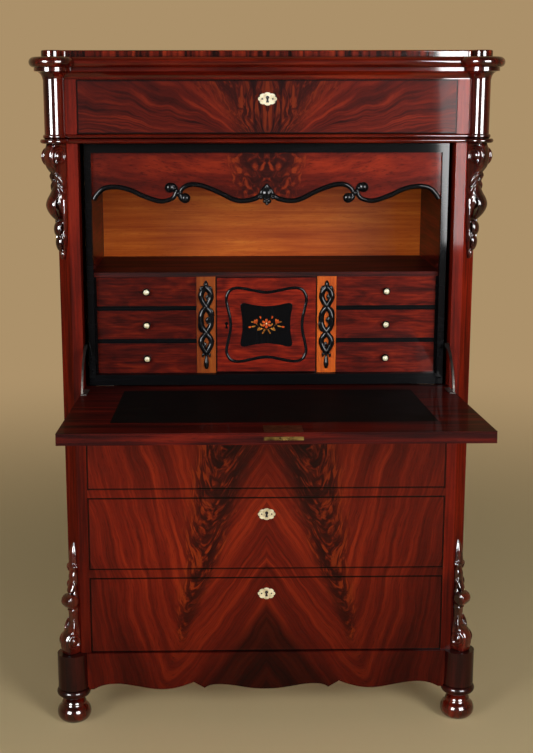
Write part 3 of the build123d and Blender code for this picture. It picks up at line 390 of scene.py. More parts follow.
# What each finish is, its look, the way its grain runs, and the nodes that carry it
smallDrawers = " ".join(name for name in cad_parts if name.startswith("small_drawer"))
woodFinishes = {
    "stileMahogany": (
        "mahogany upright", stileLook, "Z", "case_side_left case_side_right stile_left stile_right"),
    "blockMahogany": ("dark mahogany of the plinth blocks", blockLook, "Z", "plinth_blocks"),
    "sideMahogany": ("dark mahogany front to back", darkMahogany, "Y", "plinth_sides fitment_case"),
    "doorMahogany": ("mahogany of the cupboard door", doorLook, "X", "cupboard_door"),
    "mouldedMahogany": ("moulded mahogany", mouldedLook, "X", "cornice_front frieze_rail"),
    "crossedMahogany": ("crossbanded mahogany of the top", topLook, "X", "plateau"),
    "returnMahogany": ("moulded mahogany front to back", mouldedLook, "Y", "cornice_returns"),
    "drawerMahogany": ("mahogany of the small drawers", smallDrawerLook, "X", smallDrawers),
    "shelfMahogany": ("dull mahogany of the shelf", shelfLook, "X", "fitment_shelf"),
    "carvedMahogany": ("carved and polished mahogany", carvedLook, "Z", ""),
    "turnedMahogany": ("turned and polished mahogany", turnedLook, "Z", "column_left column_right"),
    "fallMahogany": ("mahogany of the fall", {**fallLook, "outside": outsideVeneer}, "X", "fall_board"),
    "glowMahogany": ("pale mahogany across", glowMahogany, "X", "fitment_back"),
    "pilasterMahogany": ("pale mahogany upright", pilasterLook, "Z", "pilasters"),
    "ebonised": ("ebonised pearwood", ebony, "X", "fitment_frame nest_partitions"),
    "carvedEbony": ("carved and ebonised pearwood", glossEbony, "Z", ""),
    "ebonyGround": ("ebonised ground", ebony, "Z", ""),
    "flowerVeneer": ("stained holly veneer", flowerInlay, "X", ""),
    "leafVeneer": ("shaded boxwood veneer", leafInlay, "Z", ""),
    "carcase": ("waxed oak", carcase, "Y", (
        "case_top bottom_board guides_and_bearers upper_drawer_box middle_drawer_box lower_drawer_box "
        "frieze_drawer_box")),
    "carcaseUpright": ("waxed oak upright", carcase, "Z", "back_panel rear_feet"),
    "railVeneer": (
        "crotch veneer of the rails and plinth", drawerVeneer, None,
        "lower_dust_board middle_dust_board upper_dust_board plinth_front"),
    "apronVeneer": ("crotch veneer of the apron", apronVeneer, None, "apron"),
}
for word in ("upper", "middle", "lower", "frieze"):
    front = f"{word}_drawer_front"
    veneer = friezeVeneer if word == "frieze" else drawerVeneer
    # Each drawer front gets a painted shadow of the gap round its edges
    woodFinishes[f"{word}Veneer"] = (
        f"crotch veneer of the {word} drawer", {**veneer, "gapShadeNode": front}, None, front)
otherFinishes = {
    "skiver": ("black skiver", blackSkiver, "fall_leather"),
    "bronze": ("dark bronze", darkBronze, "fall_lock"),
    "iron": ("wrought iron", wroughtIron, (
        "fall_stays fall_pins stay_stops door_ironwork upper_drawer_lock middle_drawer_lock lower_drawer_lock "
        "frieze_drawer_lock")),
    "bone": ("cut bone", creamBone, ""),
}
finishes = {}


def finishNodes(finish, material, nodes):
    finishes[finish] = material
    for node in nodes.split():
        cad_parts[node].material_slots[0].material = material


for finish, (commonName, look, axis, nodes) in woodFinishes.items():
    finishNodes(finish, polishedWood(commonName, look, axis), nodes)
for finish, (commonName, look, nodes) in otherFinishes.items():
    finishNodes(finish, handledSurface(commonName, look), nodes)
print("finishes made:", len(finishes))


# Carving in code: strands, leaves and bodies are joined, remeshed as one skin and softened like worn work
def smoothCurve(points, steps):
    # Catmull-Rom curve through given points; a fourth number is a half width, carried along
    knots = [Vector(point) for point in points]
    knots = [2 * knots[0] - knots[1]] + knots + [2 * knots[-1] - knots[-2]]
    curve = []
    for before, start, end, after in zip(knots, knots[1:], knots[2:], knots[3:]):
        for step in range(steps):
            t = step / steps
            bend = 2 * before - 5 * start + 4 * end - after
            twist = 3 * start - before - 3 * end + after
            curve.append(0.5 * (2 * start + (end - before) * t + bend * t**2 + twist * t**3))
    return curve + [knots[-2]]


# What the gouge leaves alike on all the carving
gouge = {
    "midrib": 0.5,                                  # half width of a leaf's hollow, as a share
    "leastMm": 0.05, "soften": 0.5,                 # the thinnest strand, and wear of the skin
    "strandSides": 14,
    "backMm": 1.0,                                  # how far a console goes into its ground
    "lobeFadeMm": 8, "lobeRound": 0.7, "lobeSunk": 0.75,
    "rimAngle": 0.8, "rimWide": 0.12, "dishMm": 0.5, "leastOut": 0.02, "eyeSunkMm": 0.5, "spiralSteps": 24,
    "sectionSteps": 36, "heightSteps": 7, "frondSide": (0, 0.6, 1), "frondFlat": 0.62, "frondGroove": 0.3,
    "collarWide": 0.78, "collarTurn": 0.7, "collarOut": 0.85,
}


def loft(mesh, rings):
    rows = [[mesh.verts.new(point) for point in ring] for ring in rings]
    count = len(rows[0])
    for low, high in zip(rows, rows[1:]):
        for i in range(count):
            j = (i + 1) % count
            mesh.faces.new((low[i], low[j], high[j], high[i]))
    mesh.faces.new(rows[0][::-1])
    mesh.faces.new(rows[-1])


def strand(mesh, points, side, flat=1.0, groove=0.0, steps=6):
    # A round or flattened strand through (x, y, z, half width) points; side is the way its width lies
    stations = smoothCurve(points, steps)
    rings = []
    for i, station in enumerate(stations):
        along = stations[min(i + 1, len(stations) - 1)].xyz - stations[max(i - 1, 0)].xyz
        top = Vector(side).cross(along).normalized()
        wide = along.cross(top).normalized()
        ring = []
        for step in range(gouge["strandSides"]):
            angle = 2 * math.pi * step / gouge["strandSides"]
            lift = flat * math.sin(angle)
            if lift > 0:  # hollow along the midrib
                lift *= 1 - groove * max(0.0, 1 - (math.cos(angle) / gouge["midrib"]) ** 2)
            half = max(station.w, gouge["leastMm"])
            ring.append(station.xyz + half * (wide * math.cos(angle) + top * lift))
        rings.append(ring)
    loft(mesh, rings)


def ball(mesh, centre, radii):
    made = bmesh.ops.create_uvsphere(mesh, u_segments=18, v_segments=12, radius=1.0)
    bmesh.ops.scale(mesh, vec=radii, verts=made["verts"])
    bmesh.ops.translate(mesh, vec=centre, verts=made["verts"])


def carvedSkin(name, mesh, voxel, softenings):
    bmesh.ops.recalc_face_normals(mesh, faces=mesh.faces)
    rough = bpy.data.meshes.new(name)
    mesh.to_mesh(rough)
    mesh.free()
    block = bpy.data.objects.new(name + "_block", rough)
    bpy.context.scene.collection.objects.link(block)
    remesh = block.modifiers.new("remesh", "REMESH")
    remesh.mode = "VOXEL"
    remesh.voxel_size = voxel
    soften = block.modifiers.new("soften", "SMOOTH")
    soften.factor = gouge["soften"]
    soften.iterations = softenings
    depsgraph = bpy.context.evaluated_depsgraph_get()
    skin = bpy.data.meshes.new_from_object(block.evaluated_get(depsgraph))
    bpy.data.objects.remove(block)
    skin.shade_smooth()
    return skin


def flatBacked(skin, backY):
    # A carving ends where it lies on its ground; its millimetres become metres
    for vertex in skin.vertices:
        vertex.co.y = min(vertex.co.y, backY)
    skin.transform(Matrix.Scale(millimetre, 4))
    return skin


def addPiece(name, mesh, finish, body, stands=()):
    piece = bpy.data.objects.new(name, mesh)
    bpy.context.scene.collection.objects.link(piece)
    mesh.materials.clear()
    mesh.materials.append(finishes[finish])
    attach(piece, body)
    if stands:
        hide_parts(*stands)
    return piece


def placedCopy(mesh, matrix):
    # Copies a carving to its place; a mirrored one has its faces turned out again
    copy = mesh.copy()
    copy.transform(matrix)
    if matrix.determinant() < 0:
        copy.flip_normals()
    return copy


# Corner consoles, in millimetres across, out from and up the canted corner
upperConsole = {
    "cantMm": 27, "reachMm": 41, "voxelMm": 1.0, "halfWidthMm": 16, "square": 0.45,
    # Height, reach and half width, as shares, from the top down
    "outline": [
        (1.0, 0.8, 1.0), (0.94, 0.95, 1.0), (0.89, 1.0, 1.0), (0.84, 0.95, 1.0), (0.8, 0.86, 1.0),
        (0.765, 0.68, 1.0), (0.745, 0.55, 0.97), (0.72, 0.46, 0.94), (0.69, 0.43, 0.9),
        (0.636, 0.43, 0.9), (0.567, 0.5, 0.92), (0.494, 0.58, 0.95), (0.45, 0.5, 0.9),
        (0.413, 0.34, 0.86), (0.34, 0.22, 0.8), (0.235, 0.26, 0.8), (0.14, 0.24, 0.75),
        (0.065, 0.14, 0.5), (0.0, 0.04, 0.25),
    ],
    # Zones of lobes: lowest, highest, pitch, depth, and how far a lobe falls from the middle to a cheek
    "lobes": [(0.45, 0.72, 17, 1.0, 20)],
    # Rim: lowest, highest, proud; eye: out, up, radius; spiral: radii, turns, angle, hand, half widths
    "rim": (0.76, 1.0, 1.0), "eye": (19.5, 221, 9.5), "eyeProud": 4.5,
    "spiral": (13.5, 20.5, 1.05, -75, 1, 2.2, 3.0),
    "leaves": [  # on the middle line, (out, up, half width)
        ([(15, 168, 7), (18, 154, 10.5), (23, 141, 13), (30, 129, 14.5), (33, 118, 15), (30, 107, 14),
          (23, 96, 11.5), (14, 86, 8)], 0.42, 0.3),
        ([(9, 80, 7), (15, 77, 9.5), (17.5, 68, 10.5), (16, 57, 9.5), (10, 51, 5)], 0.5, 0.4),
        ([(8, 49, 6), (13.5, 45, 9), (15, 35, 9), (12.5, 24, 7), (8, 17, 3)], 0.5, 0.4)],
    "fronds": [  # mirrored on both cheeks, (across, out, up, half width)
        [(2, 23, 188, 2.5), (9, 22, 178, 4.8), (14, 14, 166, 5), (15.5, 6, 152, 2)],
        [(3, 19, 170, 2.5), (10, 18.5, 158, 5), (15, 12, 144, 5), (15.5, 5, 128, 2)],
        [(13.5, 6, 140, 2.5), (14.5, 7, 114, 4.4), (14, 7, 88, 4.8), (12.5, 6, 64, 4), (9, 4, 48, 2)],
        [(11, 9, 62, 2.5), (12.5, 8, 48, 4.2), (10, 6, 34, 3.5), (5, 4, 22, 1.6)]],
    "drop": [(0, 3.5, 22, 3), (0, 4.6, 14, 5.2), (0, 3.8, 5, 4.6), (0, 2.4, 0.6, 1.4)],
}
lowerConsole = {
    "cantMm": 27, "reachMm": 35, "voxelMm": 1.0, "halfWidthMm": 16, "square": 0.5,
    "outline": [
        (1.0, 0.02, 0.15), (0.92, 0.1, 0.5), (0.84, 0.16, 0.7), (0.76, 0.2, 0.78),
        (0.67, 0.22, 0.8), (0.585, 0.24, 0.8), (0.54, 0.36, 0.84), (0.495, 0.5, 0.86),
        (0.447, 0.52, 0.86), (0.416, 0.42, 0.84), (0.33, 0.38, 0.78), (0.29, 0.35, 0.78),
        (0.255, 0.38, 0.82), (0.225, 0.55, 0.92), (0.19, 0.86, 1.0), (0.14, 1.08, 1.0),
        (0.09, 1.12, 1.0), (0.046, 1.08, 1.0), (0.0, 0.98, 1.0),
    ],
    "lobes": [],
    "rim": (0.0, 0.24, 1.4), "eye": (16, 30, 7.5), "eyeProud": 4.0,
    "spiral": (11.5, 18.5, 1.1, 105, -1, 2.0, 3.0),
    "leaves": [
        ([(1.5, 258, 2), (4, 248, 5.5), (6, 234, 8), (7.2, 220, 8.5), (9, 208, 8), (10.5, 202, 4)],
         0.45, -0.25),
        ([(5, 196, 8), (7.6, 182, 10.5), (8.4, 168, 9.5), (11, 156, 10.5), (15, 148, 9), (16, 143, 4)],
         0.4, 0.4)],
    "fronds": [
        [(7, 8, 214, 2), (12, 7, 204, 4), (12.5, 5, 192, 2)],
        [(6, 9, 176, 2), (12, 8, 162, 4), (13, 6, 146, 1.6)],
        [(9, 13, 82, 2), (14, 14, 70, 3.6), (16, 17, 58, 3.4), (16, 19, 46, 2)]],
    "drop": [(-16.5, 14, 125, 10), (-13, 14, 125, 15.5), (0, 14.5, 125, 17), (13, 14, 125, 15.5),
             (16.5, 14, 125, 10)],
    "collars": [(206, 9, 3.6), (102, 15, 2.4)],
}


def spiralPoints(cheek, eyeOut, eyeUp, spiral, across):
    # From the outer face of the scroll round and in to its eye
    inner, outer, turns, outerAngle, hand, thin, thick = spiral
    points = []
    for step in range(gouge["spiralSteps"] + 1):
        share = step / gouge["spiralSteps"]
        angle = math.radians(outerAngle + hand * 360 * turns * (1 - share))
        radius = inner + (outer - inner) * share
        points.append((
            cheek * across, eyeOut + radius * math.cos(angle), eyeUp + radius * math.sin(angle),
            thin + (thick - thin) * share))
    return points


def carvedConsole(name, node, look):
    low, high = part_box(node)
    height = (high.z - low.z) / millimetre
    reach = look["reachMm"]
    mesh = bmesh.new()
    rings = []
    for up, out, wide in smoothCurve(look["outline"], gouge["heightSteps"]):
        rise = up * height
        ring = []
        for step in range(gouge["sectionSteps"] + 1):
            angle = math.pi * (step / gouge["sectionSteps"] - 0.5)
            across = abs(math.sin(angle)) ** look["square"] * math.copysign(look["halfWidthMm"] * wide, angle)
            outward = max(out, gouge["leastOut"]) * reach * math.cos(angle) ** look["square"]
            relief = 0.0
            for zoneLow, zoneHigh, pitch, depth, fall in look["lobes"]:
                inZone = min(rise - zoneLow * height, zoneHigh * height - rise)
                fade = min(1.0, max(0.0, inZone / gouge["lobeFadeMm"]))
                lobe = abs(math.sin(math.pi * (rise + fall * abs(angle)) / pitch))
                relief += fade * depth * (lobe ** gouge["lobeRound"] - gouge["lobeSunk"])
            rimLow, rimHigh, rimProud = look["rim"]
            if rimLow <= up <= rimHigh:
                relief += rimProud * math.exp(-((abs(angle) - gouge["rimAngle"]) / gouge["rimWide"]) ** 2)
                relief -= gouge["dishMm"] * math.cos(angle) ** 4
            ring.append((across + relief * math.sin(angle), outward + relief * math.cos(angle), rise))
        rings.append(ring + [(side * look["halfWidthMm"] * wide, -gouge["backMm"], rise) for side in (1, -1)])
    loft(mesh, rings)
    eyeOut, eyeUp, eyeRadius = look["eye"]
    for cheek in (-1, 1):
        strand(mesh, spiralPoints(
            cheek, eyeOut, eyeUp, look["spiral"], look["halfWidthMm"]), (1, 0, 0), steps=2)
        eyeAcross = cheek * (look["halfWidthMm"] - gouge["eyeSunkMm"])
        ball(mesh, (eyeAcross, eyeOut, eyeUp), (look["eyeProud"], eyeRadius, eyeRadius))
        for points in look["fronds"]:
            placed = [(cheek * a, o, u, r) for a, o, u, r in points]
            strand(mesh, placed, gouge["frondSide"], gouge["frondFlat"], gouge["frondGroove"])
    for points, flat, groove in look["leaves"]:
        strand(mesh, [(0, o, u, r) for o, u, r in points], (-1, 0, 0), flat, groove)
    strand(mesh, look["drop"], (1, 0, 0) if look["drop"][0][0] == 0 else (0, 1, 0))
    for up, out, radius in look.get("collars", ()):
        edge = look["halfWidthMm"] * gouge["collarWide"]
        turnShare, outShare = gouge["collarTurn"], gouge["collarOut"]
        shares = ((-1, 0), (-turnShare, outShare), (0, 1), (turnShare, outShare), (1, 0))
        points = [(side * edge, max(forward * out, 1), up, radius) for side, forward in shares]
        strand(mesh, points, (0, 0, 1))
    # Nothing stands behind the canted corner, above the top or below the foot
    skin = carvedSkin(name, mesh, look["voxelMm"], 2)
    for vertex in skin.vertices:
        vertex.co.y = max(vertex.co.y, -gouge["backMm"])
        vertex.co.z = min(max(vertex.co.z, 0.0), height)
    corner = caseHalf - look["cantMm"] / 2 * millimetre
    for side, word in ((-1, "left"), (1, "right")):
        across, out = Vector((side, 1, 0)).normalized(), Vector((side, -1, 0)).normalized()
        axes = Matrix((across, out, Vector((0, 0, 1)))).transposed() * millimetre
        place = Matrix.Translation((side * corner, frontY + look["cantMm"] / 2 * millimetre, low.z))
        console = placedCopy(skin, place @ axes.to_4x4())
        addPiece(f"{name}_{word}", console, "carvedMahogany", "case", [node])


carvedConsole("upper_console", "upper_consoles", upperConsole)
carvedConsole("lower_console", "lower_consoles", lowerConsole)
print("consoles carved")

# Turned work, and thin plates cut to an outline
def circleLoop(right, up, radius, sides):
    turns = [2 * math.pi * step / sides for step in range(sides)]
    return [(right + radius * math.cos(turn), up + radius * math.sin(turn)) for turn in turns]


def turned(mesh, profile, matrix, sides):
    # A profile of (radius, height) turned about its own upright, then set in place
    loft(mesh, [[matrix @ Vector((*point, height)) for point in circleLoop(0, 0, radius, sides)]
                for radius, height in profile])


def faceMatrix(x, y, z):
    # Millimetres on a front: right, out towards the room, up
    axes = Matrix(((1, 0, 0), (0, -1, 0), (0, 0, 1))) * millimetre
    return Matrix.Translation((x, y, z)) @ axes.to_4x4()


def meshFrom(name, mesh, smooth=True):
    bmesh.ops.recalc_face_normals(mesh, faces=mesh.faces)
    made = bpy.data.meshes.new(name)
    mesh.to_mesh(made)
    mesh.free()
    if smooth:
        made.shade_smooth()
    return made


def cutPlate(name, loops, thick, bevel, place):
    # Outlines in millimetres (right, up); inner loops become holes
    curve = bpy.data.curves.new(name, "CURVE")
    curve.dimensions = "2D"
    curve.fill_mode = "BOTH"
    curve.extrude = thick / 2 - bevel
    curve.bevel_depth = bevel
    curve.bevel_resolution = 2
    curve.offset = -bevel
    for loop in loops:
        spline = curve.splines.new("POLY")
        spline.points.add(len(loop) - 1)
        for point, (right, up) in zip(spline.points, loop):
            point.co = (right, up, 0, 1)
        spline.use_cyclic_u = True
    block = bpy.data.objects.new(name + "_block", curve)
    bpy.context.scene.collection.objects.link(block)
    plate = bpy.data.meshes.new_from_object(block.evaluated_get(bpy.context.evaluated_depsgraph_get()))
    bpy.data.objects.remove(block)
    upright = Matrix(((1, 0, 0, 0), (0, 0, 1, thick / 2), (0, 1, 0, 0), (0, 0, 0, 1)))
    plate.transform(place @ upright)
    return plate


# Bun feet: a short neck with a shoulder, over a flattened ball
bunFoot = {
    "profile": [(12, 62.5), (20, 62.2), (20, 58), (22.5, 54.5), (26.2, 51), (28.4, 47), (29.2, 43.5),
                (31.5, 40), (35.5, 35.5), (38.6, 29.5), (39.8, 22.5), (38.8, 15), (35, 8), (29, 2.8),
                (22, 0), (10, 0)],
    "steps": 4, "sides": 64, "leastMm": 0.5,
}
widest = max(r for r, z in bunFoot["profile"]) * millimetre
for side, word in ((-1, "left"), (1, "right")):
    low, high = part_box("front_feet")
    radius = (high.y - low.y) / 2
    centre = Vector((side * (high.x - radius), low.y + radius, low.z))
    foot = bmesh.new()
    curve = smoothCurve([(r, z, 0) for r, z in bunFoot["profile"]], bunFoot["steps"])
    profile = [(max(p.x, bunFoot["leastMm"]) * radius / widest, max(p.y, 0.0)) for p in curve]
    turned(foot, profile, Matrix.Translation(centre) @ Matrix.Scale(millimetre, 4), bunFoot["sides"])
    addPiece(
        f"bun_foot_{word}", meshFrom("bunFoot", foot), "turnedMahogany", "case", ["front_feet"])

# Knobs of the small drawers: turned ebonised wood with a bone button in the face
knobButton = {
    "profile": [(0.2, 15.4), (2.4, 15.2), (4.4, 14.6), (5.8, 13.6), (6.4, 12.4), (6.4, 10.8), (0.2, 10.8)],
    "sides": 28,
}
for level in ("lower", "middle", "upper"):
    for side in ("left", "right"):
        node = f"small_drawer_{level}_{side}"
        low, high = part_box(node)
        button = bmesh.new()
        place = Matrix.Translation(((low.x + high.x) / 2, nestY, (low.z + high.z) / 2))
        place = place @ Matrix.Rotation(math.pi / 2, 4, "X") @ Matrix.Scale(millimetre, 4)
        turned(button, knobButton["profile"], place, knobButton["sides"])
        addPiece(
            f"bone_button_{level}_{side}", meshFrom("boneButton", button), "bone", f"small_{level}_{side}")

# Bone keyhole plates, eight lobes round a keyhole and two pins
keyPlate = {
    "halfWidth": 19.8, "halfHeight": 13.6, "lobes": 8, "lobeShare": 0.15, "lobeRound": 0.75, "steps": 96,
    "thick": 1.6, "bevel": 0.35, "proud": 1.4, "hole": 3.8, "holeUp": 2.8, "holeSteps": 16, "holeFrom": -60,
    "holeTurn": 300, "slot": 2.1, "slotTop": -3.0, "slotFoot": -7.4, "footWidth": 3.2, "footRise": 1.0,
    "pinOut": 11.2, "pin": 1.8, "pinSides": 12,
    "dropMm": 39,                                   # from the top of a drawer front to its keyhole
}


def keyPlateLoops(look):
    rim = []
    for step in range(look["steps"]):
        turn = 2 * math.pi * step / look["steps"]
        share = 1 - look["lobeShare"] * (1 - abs(math.cos(look["lobes"] / 2 * turn)) ** look["lobeRound"])
        rim.append((look["halfWidth"] * share * math.cos(turn), look["halfHeight"] * share * math.sin(turn)))
    hole = []
    for step in range(look["holeSteps"] + 1):
        turn = math.radians(look["holeFrom"] + look["holeTurn"] * step / look["holeSteps"])
        hole.append((look["hole"] * math.cos(turn), look["holeUp"] + look["hole"] * math.sin(turn)))
    slot = [(look["slot"], look["slotTop"]), (look["footWidth"], look["slotFoot"] + look["footRise"]),
            (look["footWidth"], look["slotFoot"])]
    hole += [(-right, up) for right, up in slot] + slot[::-1]
    pins = [circleLoop(side * look["pinOut"], 0, look["pin"], look["pinSides"]) for side in (-1, 1)]
    return [rim, hole] + pins


for word in ("frieze", "upper", "middle", "lower"):
    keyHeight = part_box(f"{word}_drawer_front")[1].z - keyPlate["dropMm"] * millimetre
    letIn = Matrix.Translation((0, keyPlate["proud"] - keyPlate["thick"], 0))
    plate = cutPlate("keyPlate", keyPlateLoops(keyPlate), keyPlate["thick"], keyPlate["bevel"],
                     faceMatrix(0, frontY, keyHeight) @ letIn)
    addPiece(f"bone_key_plate_{word}", plate, "bone", f"{word}_drawer")
print("feet, knobs and keyhole plates made")

# Ebonised bead along the apron: two S scrolls that end in balls, and a bud with pearls at the middle
apronBead = {
    # Share of the half width, share of the depth, half width in millimetres
    "voxelMm": 0.9, "depthMm": 103, "ballFlat": 0.72, "backMm": 0.6,
    "pearlsOut": 2.5, "leavesOut": 3, "budOut": 1, "budPearlsOut": 5,
    "leafFlat": 0.8, "leafGroove": 0.3, "budFlat": 0.7, "budGroove": 0.35,
    "inner": [(-0.002, 0.17, 5.0), (0.029, 0.126, 5.4), (0.072, 0.04, 5.4), (0.14, 0.0, 5.4),
              (0.196, 0.04, 5.4), (0.27, 0.175, 5.4), (0.347, 0.29, 5.4), (0.408, 0.345, 5.4),
              (0.455, 0.325, 5.4), (0.487, 0.24, 5.0), (0.497, 0.13, 5.2), (0.484, 0.04, 5.8),
              (0.466, 0.03, 6.0)],
    "outer": [(0.99, 0.03, 5.4), (0.965, 0.16, 5.4), (0.927, 0.27, 5.4), (0.865, 0.298, 5.4),
              (0.788, 0.243, 5.4), (0.705, 0.107, 5.4), (0.623, 0.005, 5.4), (0.575, 0.01, 5.0),
              (0.535, 0.07, 5.0), (0.52, 0.19, 5.0), (0.53, 0.31, 5.6), (0.553, 0.32, 6.0)],
    "balls": [(0.554, 0.28, 11.0), (0.466, 0.06, 11.0)],
    "pearls": [(0.527, 0.265, 5.0), (0.507, 0.165, 5.4)],
    "bud": [(0, 0.33, 1), (0, 0.27, 8), (0, 0.16, 12.5), (0, 0.05, 9), (0, -0.02, 3)],
    "budLeaf": [(0, 0.36, 1), (0.012, 0.27, 4.5), (0.03, 0.16, 5.5), (0.034, 0.04, 2)],
    "budPearls": [(-0.012, 0.0, 4.4), (0.012, 0.0, 5.4), (0, -0.055, 3.6), (-0.034, 0.07, 4),
                  (0.034, 0.07, 4)],
}
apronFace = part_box("apron")[0].y / millimetre
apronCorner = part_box("apron")[1] / millimetre


def onApron(side, across, up, wide, out=0.0):
    rise = (up - 1) * apronBead["depthMm"]
    return (side * across * apronCorner.x, apronFace - out, apronCorner.z + rise, wide)


def beadBalls(mesh, side, key, flat=1.0, out=0.0):
    for across, up, radius in apronBead[key]:
        ball(mesh, onApron(side, across, up, radius, out)[:3], (radius, radius * flat, radius))


bead = bmesh.new()
for side in (-1, 1):
    for key in ("inner", "outer"):
        strand(bead, [onApron(side, *point) for point in apronBead[key]], (0, 1, 0))
    beadBalls(bead, side, "balls", apronBead["ballFlat"])
    beadBalls(bead, side, "pearls", out=apronBead["pearlsOut"])
    leaf = [onApron(side, *point, apronBead["leavesOut"]) for point in apronBead["budLeaf"]]
    strand(bead, leaf, (1, 0, 0), apronBead["leafFlat"], apronBead["leafGroove"])
bud = [onApron(1, *point, apronBead["budOut"]) for point in apronBead["bud"]]
strand(bead, bud, (1, 0, 0), apronBead["budFlat"], apronBead["budGroove"])
beadBalls(bead, 1, "budPearls", out=apronBead["budPearlsOut"])
skin = flatBacked(carvedSkin("apronBead", bead, apronBead["voxelMm"], 1), apronFace + apronBead["backMm"])
addPiece("apron_scrolls", skin, "carvedEbony", "case", ["apron_bead"])

# Ebonised vines: two stems that cross between three loops, under a bud and over a spindle
vine = {
    "voxelMm": 0.8, "sway": 11.0, "strand": 6.3, "fromEdgeMm": 21, "backMm": 0.5,
    "stemOut": 1.0, "budOut": 1.5, "leafOut": 3.0,
    # Height above the vine's foot and share of the sway; the second stem mirrors the first
    "stem": [(184, 0.0), (173, 0.8), (162, 1.0), (151, 0.62), (140, 0.0), (127, -0.82), (111, -1.06),
             (96, -0.82), (82, 0.0), (70, 0.82), (60, 1.02), (49, 0.66), (38, 0.06)],
    "weave": 2.0, "weaveSteps": 4,                  # how far a stem passes over the other, and how often
    "bud": [(183, 3.6), (189, 5.2), (194, 4.2), (198.5, 1.2)],
    "spindle": [(42, 4.0), (34, 3.0), (26, 3.6), (15, 5.4), (7, 5.0), (1, 2.0)],
    # Hands that carry the leaf, then its points: across, height, half width
    "leaves": [
        ((-1, 1), [(2, 178, 2), (8, 184, 3.2), (12, 180, 2.6), (13.5, 174, 1)]),
        ([1], [(9, 138, 2), (13, 131, 3.2), (15.5, 121, 2.4), (14, 114, 1)]),
        ([-1], [(9, 84, 1.6), (13.5, 91, 3.2), (15.8, 101, 2.6), (14.5, 108, 1)]),
        ([1], [(4, 118, 1.5), (2, 111, 3.6), (4, 102, 1.2)]),
        ([-1], [(3, 62, 1.4), (1, 56, 3), (4, 50, 1.2)]),
        ([1], [(4, 168, 1.4), (2, 162, 3), (4, 154, 1.2)]),
        ((-1, 1), [(2, 40, 1.6), (7, 34, 3), (8, 27, 1)])],
    "leafSide": (0.6, 0, 0.8), "leafFlat": 0.8, "leafGroove": 0.35,
}
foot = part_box("vine_carvings")[0].z / millimetre
face = nestY / millimetre
for side, word in ((-1, "left"), (1, "right")):
    middle = side * (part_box("pilasters")[1].x / millimetre - vine["fromEdgeMm"])
    stems = bmesh.new()
    for hand in (-1, 1):
        points = []
        for i, (up, sway) in enumerate(vine["stem"]):
            lift = hand * vine["weave"] * math.sin(math.pi * i / vine["weaveSteps"])
            across = middle + hand * side * sway * vine["sway"]
            points.append((across, face - vine["stemOut"] - lift, foot + up, vine["strand"]))
        strand(stems, points, (0, 1, 0))
    for key in ("bud", "spindle"):
        strand(stems, [(middle, face - vine["budOut"], foot + up, wide) for up, wide in vine[key]], (1, 0, 0))
    for hands, leaf in vine["leaves"]:
        for hand in hands:
            points = [(middle + hand * a, face - vine["leafOut"], foot + up, wide) for a, up, wide in leaf]
            strand(stems, points, vine["leafSide"], vine["leafFlat"], vine["leafGroove"])
    skin = flatBacked(carvedSkin(f"vine_{word}", stems, vine["voxelMm"], 1), face + vine["backMm"])
    addPiece(f"vine_{word}", skin, "carvedEbony", "case", ["vine_carvings"])

# Cartouche on the cupboard door: a black bead, and a black ground let in with flowers
cartouche = {
    "outer": [(0, 72), (26.5, 76.2), (49.6, 81), (67.6, 82), (80.5, 76.6), (87, 65.3), (88.2, 54),
              (84.6, 36), (80.3, 16.5), (78.9, 0)],
    "ground": [(0, 41.7), (25, 44), (45, 48.3), (52.5, 48.5), (56.8, 45), (57, 37), (54, 20), (53, 0)],
    "beadHalf": 3.3, "beadProud": 0.75, "beadSides": 12, "steps": 6, "groundThick": 1.2, "groundBevel": 0.2,
    # The keyhole is narrower and taller than the drawers', and stands at the door's left edge
    "keyWide": 0.95, "keyTall": 1.05, "keyAcross": -88.0, "keyThick": 0.5, "keyBevel": 0.05,
}


def fourfold(quarter, steps):
    # One quarter of an outline, from the top of the upright axis to the level one, mirrored to a closed loop
    before, after = (-quarter[1][0], quarter[1][1]), (quarter[-2][0], -quarter[-2][1])
    curve = smoothCurve([(x, z, 0) for x, z in [before] + quarter + [after]], steps)
    arc = [(p.x, p.y) for p in curve][steps:-steps]
    half = arc + [(x, -z) for x, z in arc[-2::-1]]
    return half + [(-x, z) for x, z in half[-2:0:-1]]


doorLow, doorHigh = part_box("cupboard_door")
doorFace = faceMatrix(0, nestY, (doorLow.z + doorHigh.z) / 2)
bead = bmesh.new()
loop = fourfold(cartouche["outer"], cartouche["steps"])
rows = []
for i, (right, up) in enumerate(loop):
    ahead, behind = loop[(i + 1) % len(loop)], loop[i - 1]
    along = Vector((ahead[0] - behind[0], 0, ahead[1] - behind[1])).normalized()
    outwards = along.cross(Vector((0, 1, 0)))
    row = []
    for step in range(cartouche["beadSides"] + 1):
        angle = math.pi * step / cartouche["beadSides"]
        proud = Vector((0, cartouche["beadProud"] * math.sin(angle), 0))
        offset = cartouche["beadHalf"] * (outwards * math.cos(angle) + proud)
        row.append(bead.verts.new(doorFace @ (Vector((right, 0, up)) + offset)))
    rows.append(row)
for i, row in enumerate(rows):
    for j in range(len(row) - 1):
        bead.faces.new((rows[i - 1][j], rows[i - 1][j + 1], row[j + 1], row[j]))
    bead.faces.new((rows[i - 1][-1], rows[i - 1][0], row[0], row[-1]))
addPiece(
    "cartouche_bead", meshFrom("cartoucheBead", bead), "carvedEbony", "door", ["door_moulding"])
ground = cutPlate("cartoucheGround", [fourfold(cartouche["ground"], cartouche["steps"])],
                  cartouche["groundThick"], cartouche["groundBevel"], doorFace)
addPiece("cartouche_ground", ground, "ebonyGround", "door", ["door_moulding"])
# The door's keyhole is a thin black plate on its face: painted shade where the hole is dark
keyholeShade = [(cartouche["keyWide"] * x + cartouche["keyAcross"], cartouche["keyTall"] * z)
           for x, z in keyPlateLoops(keyPlate)[1]]
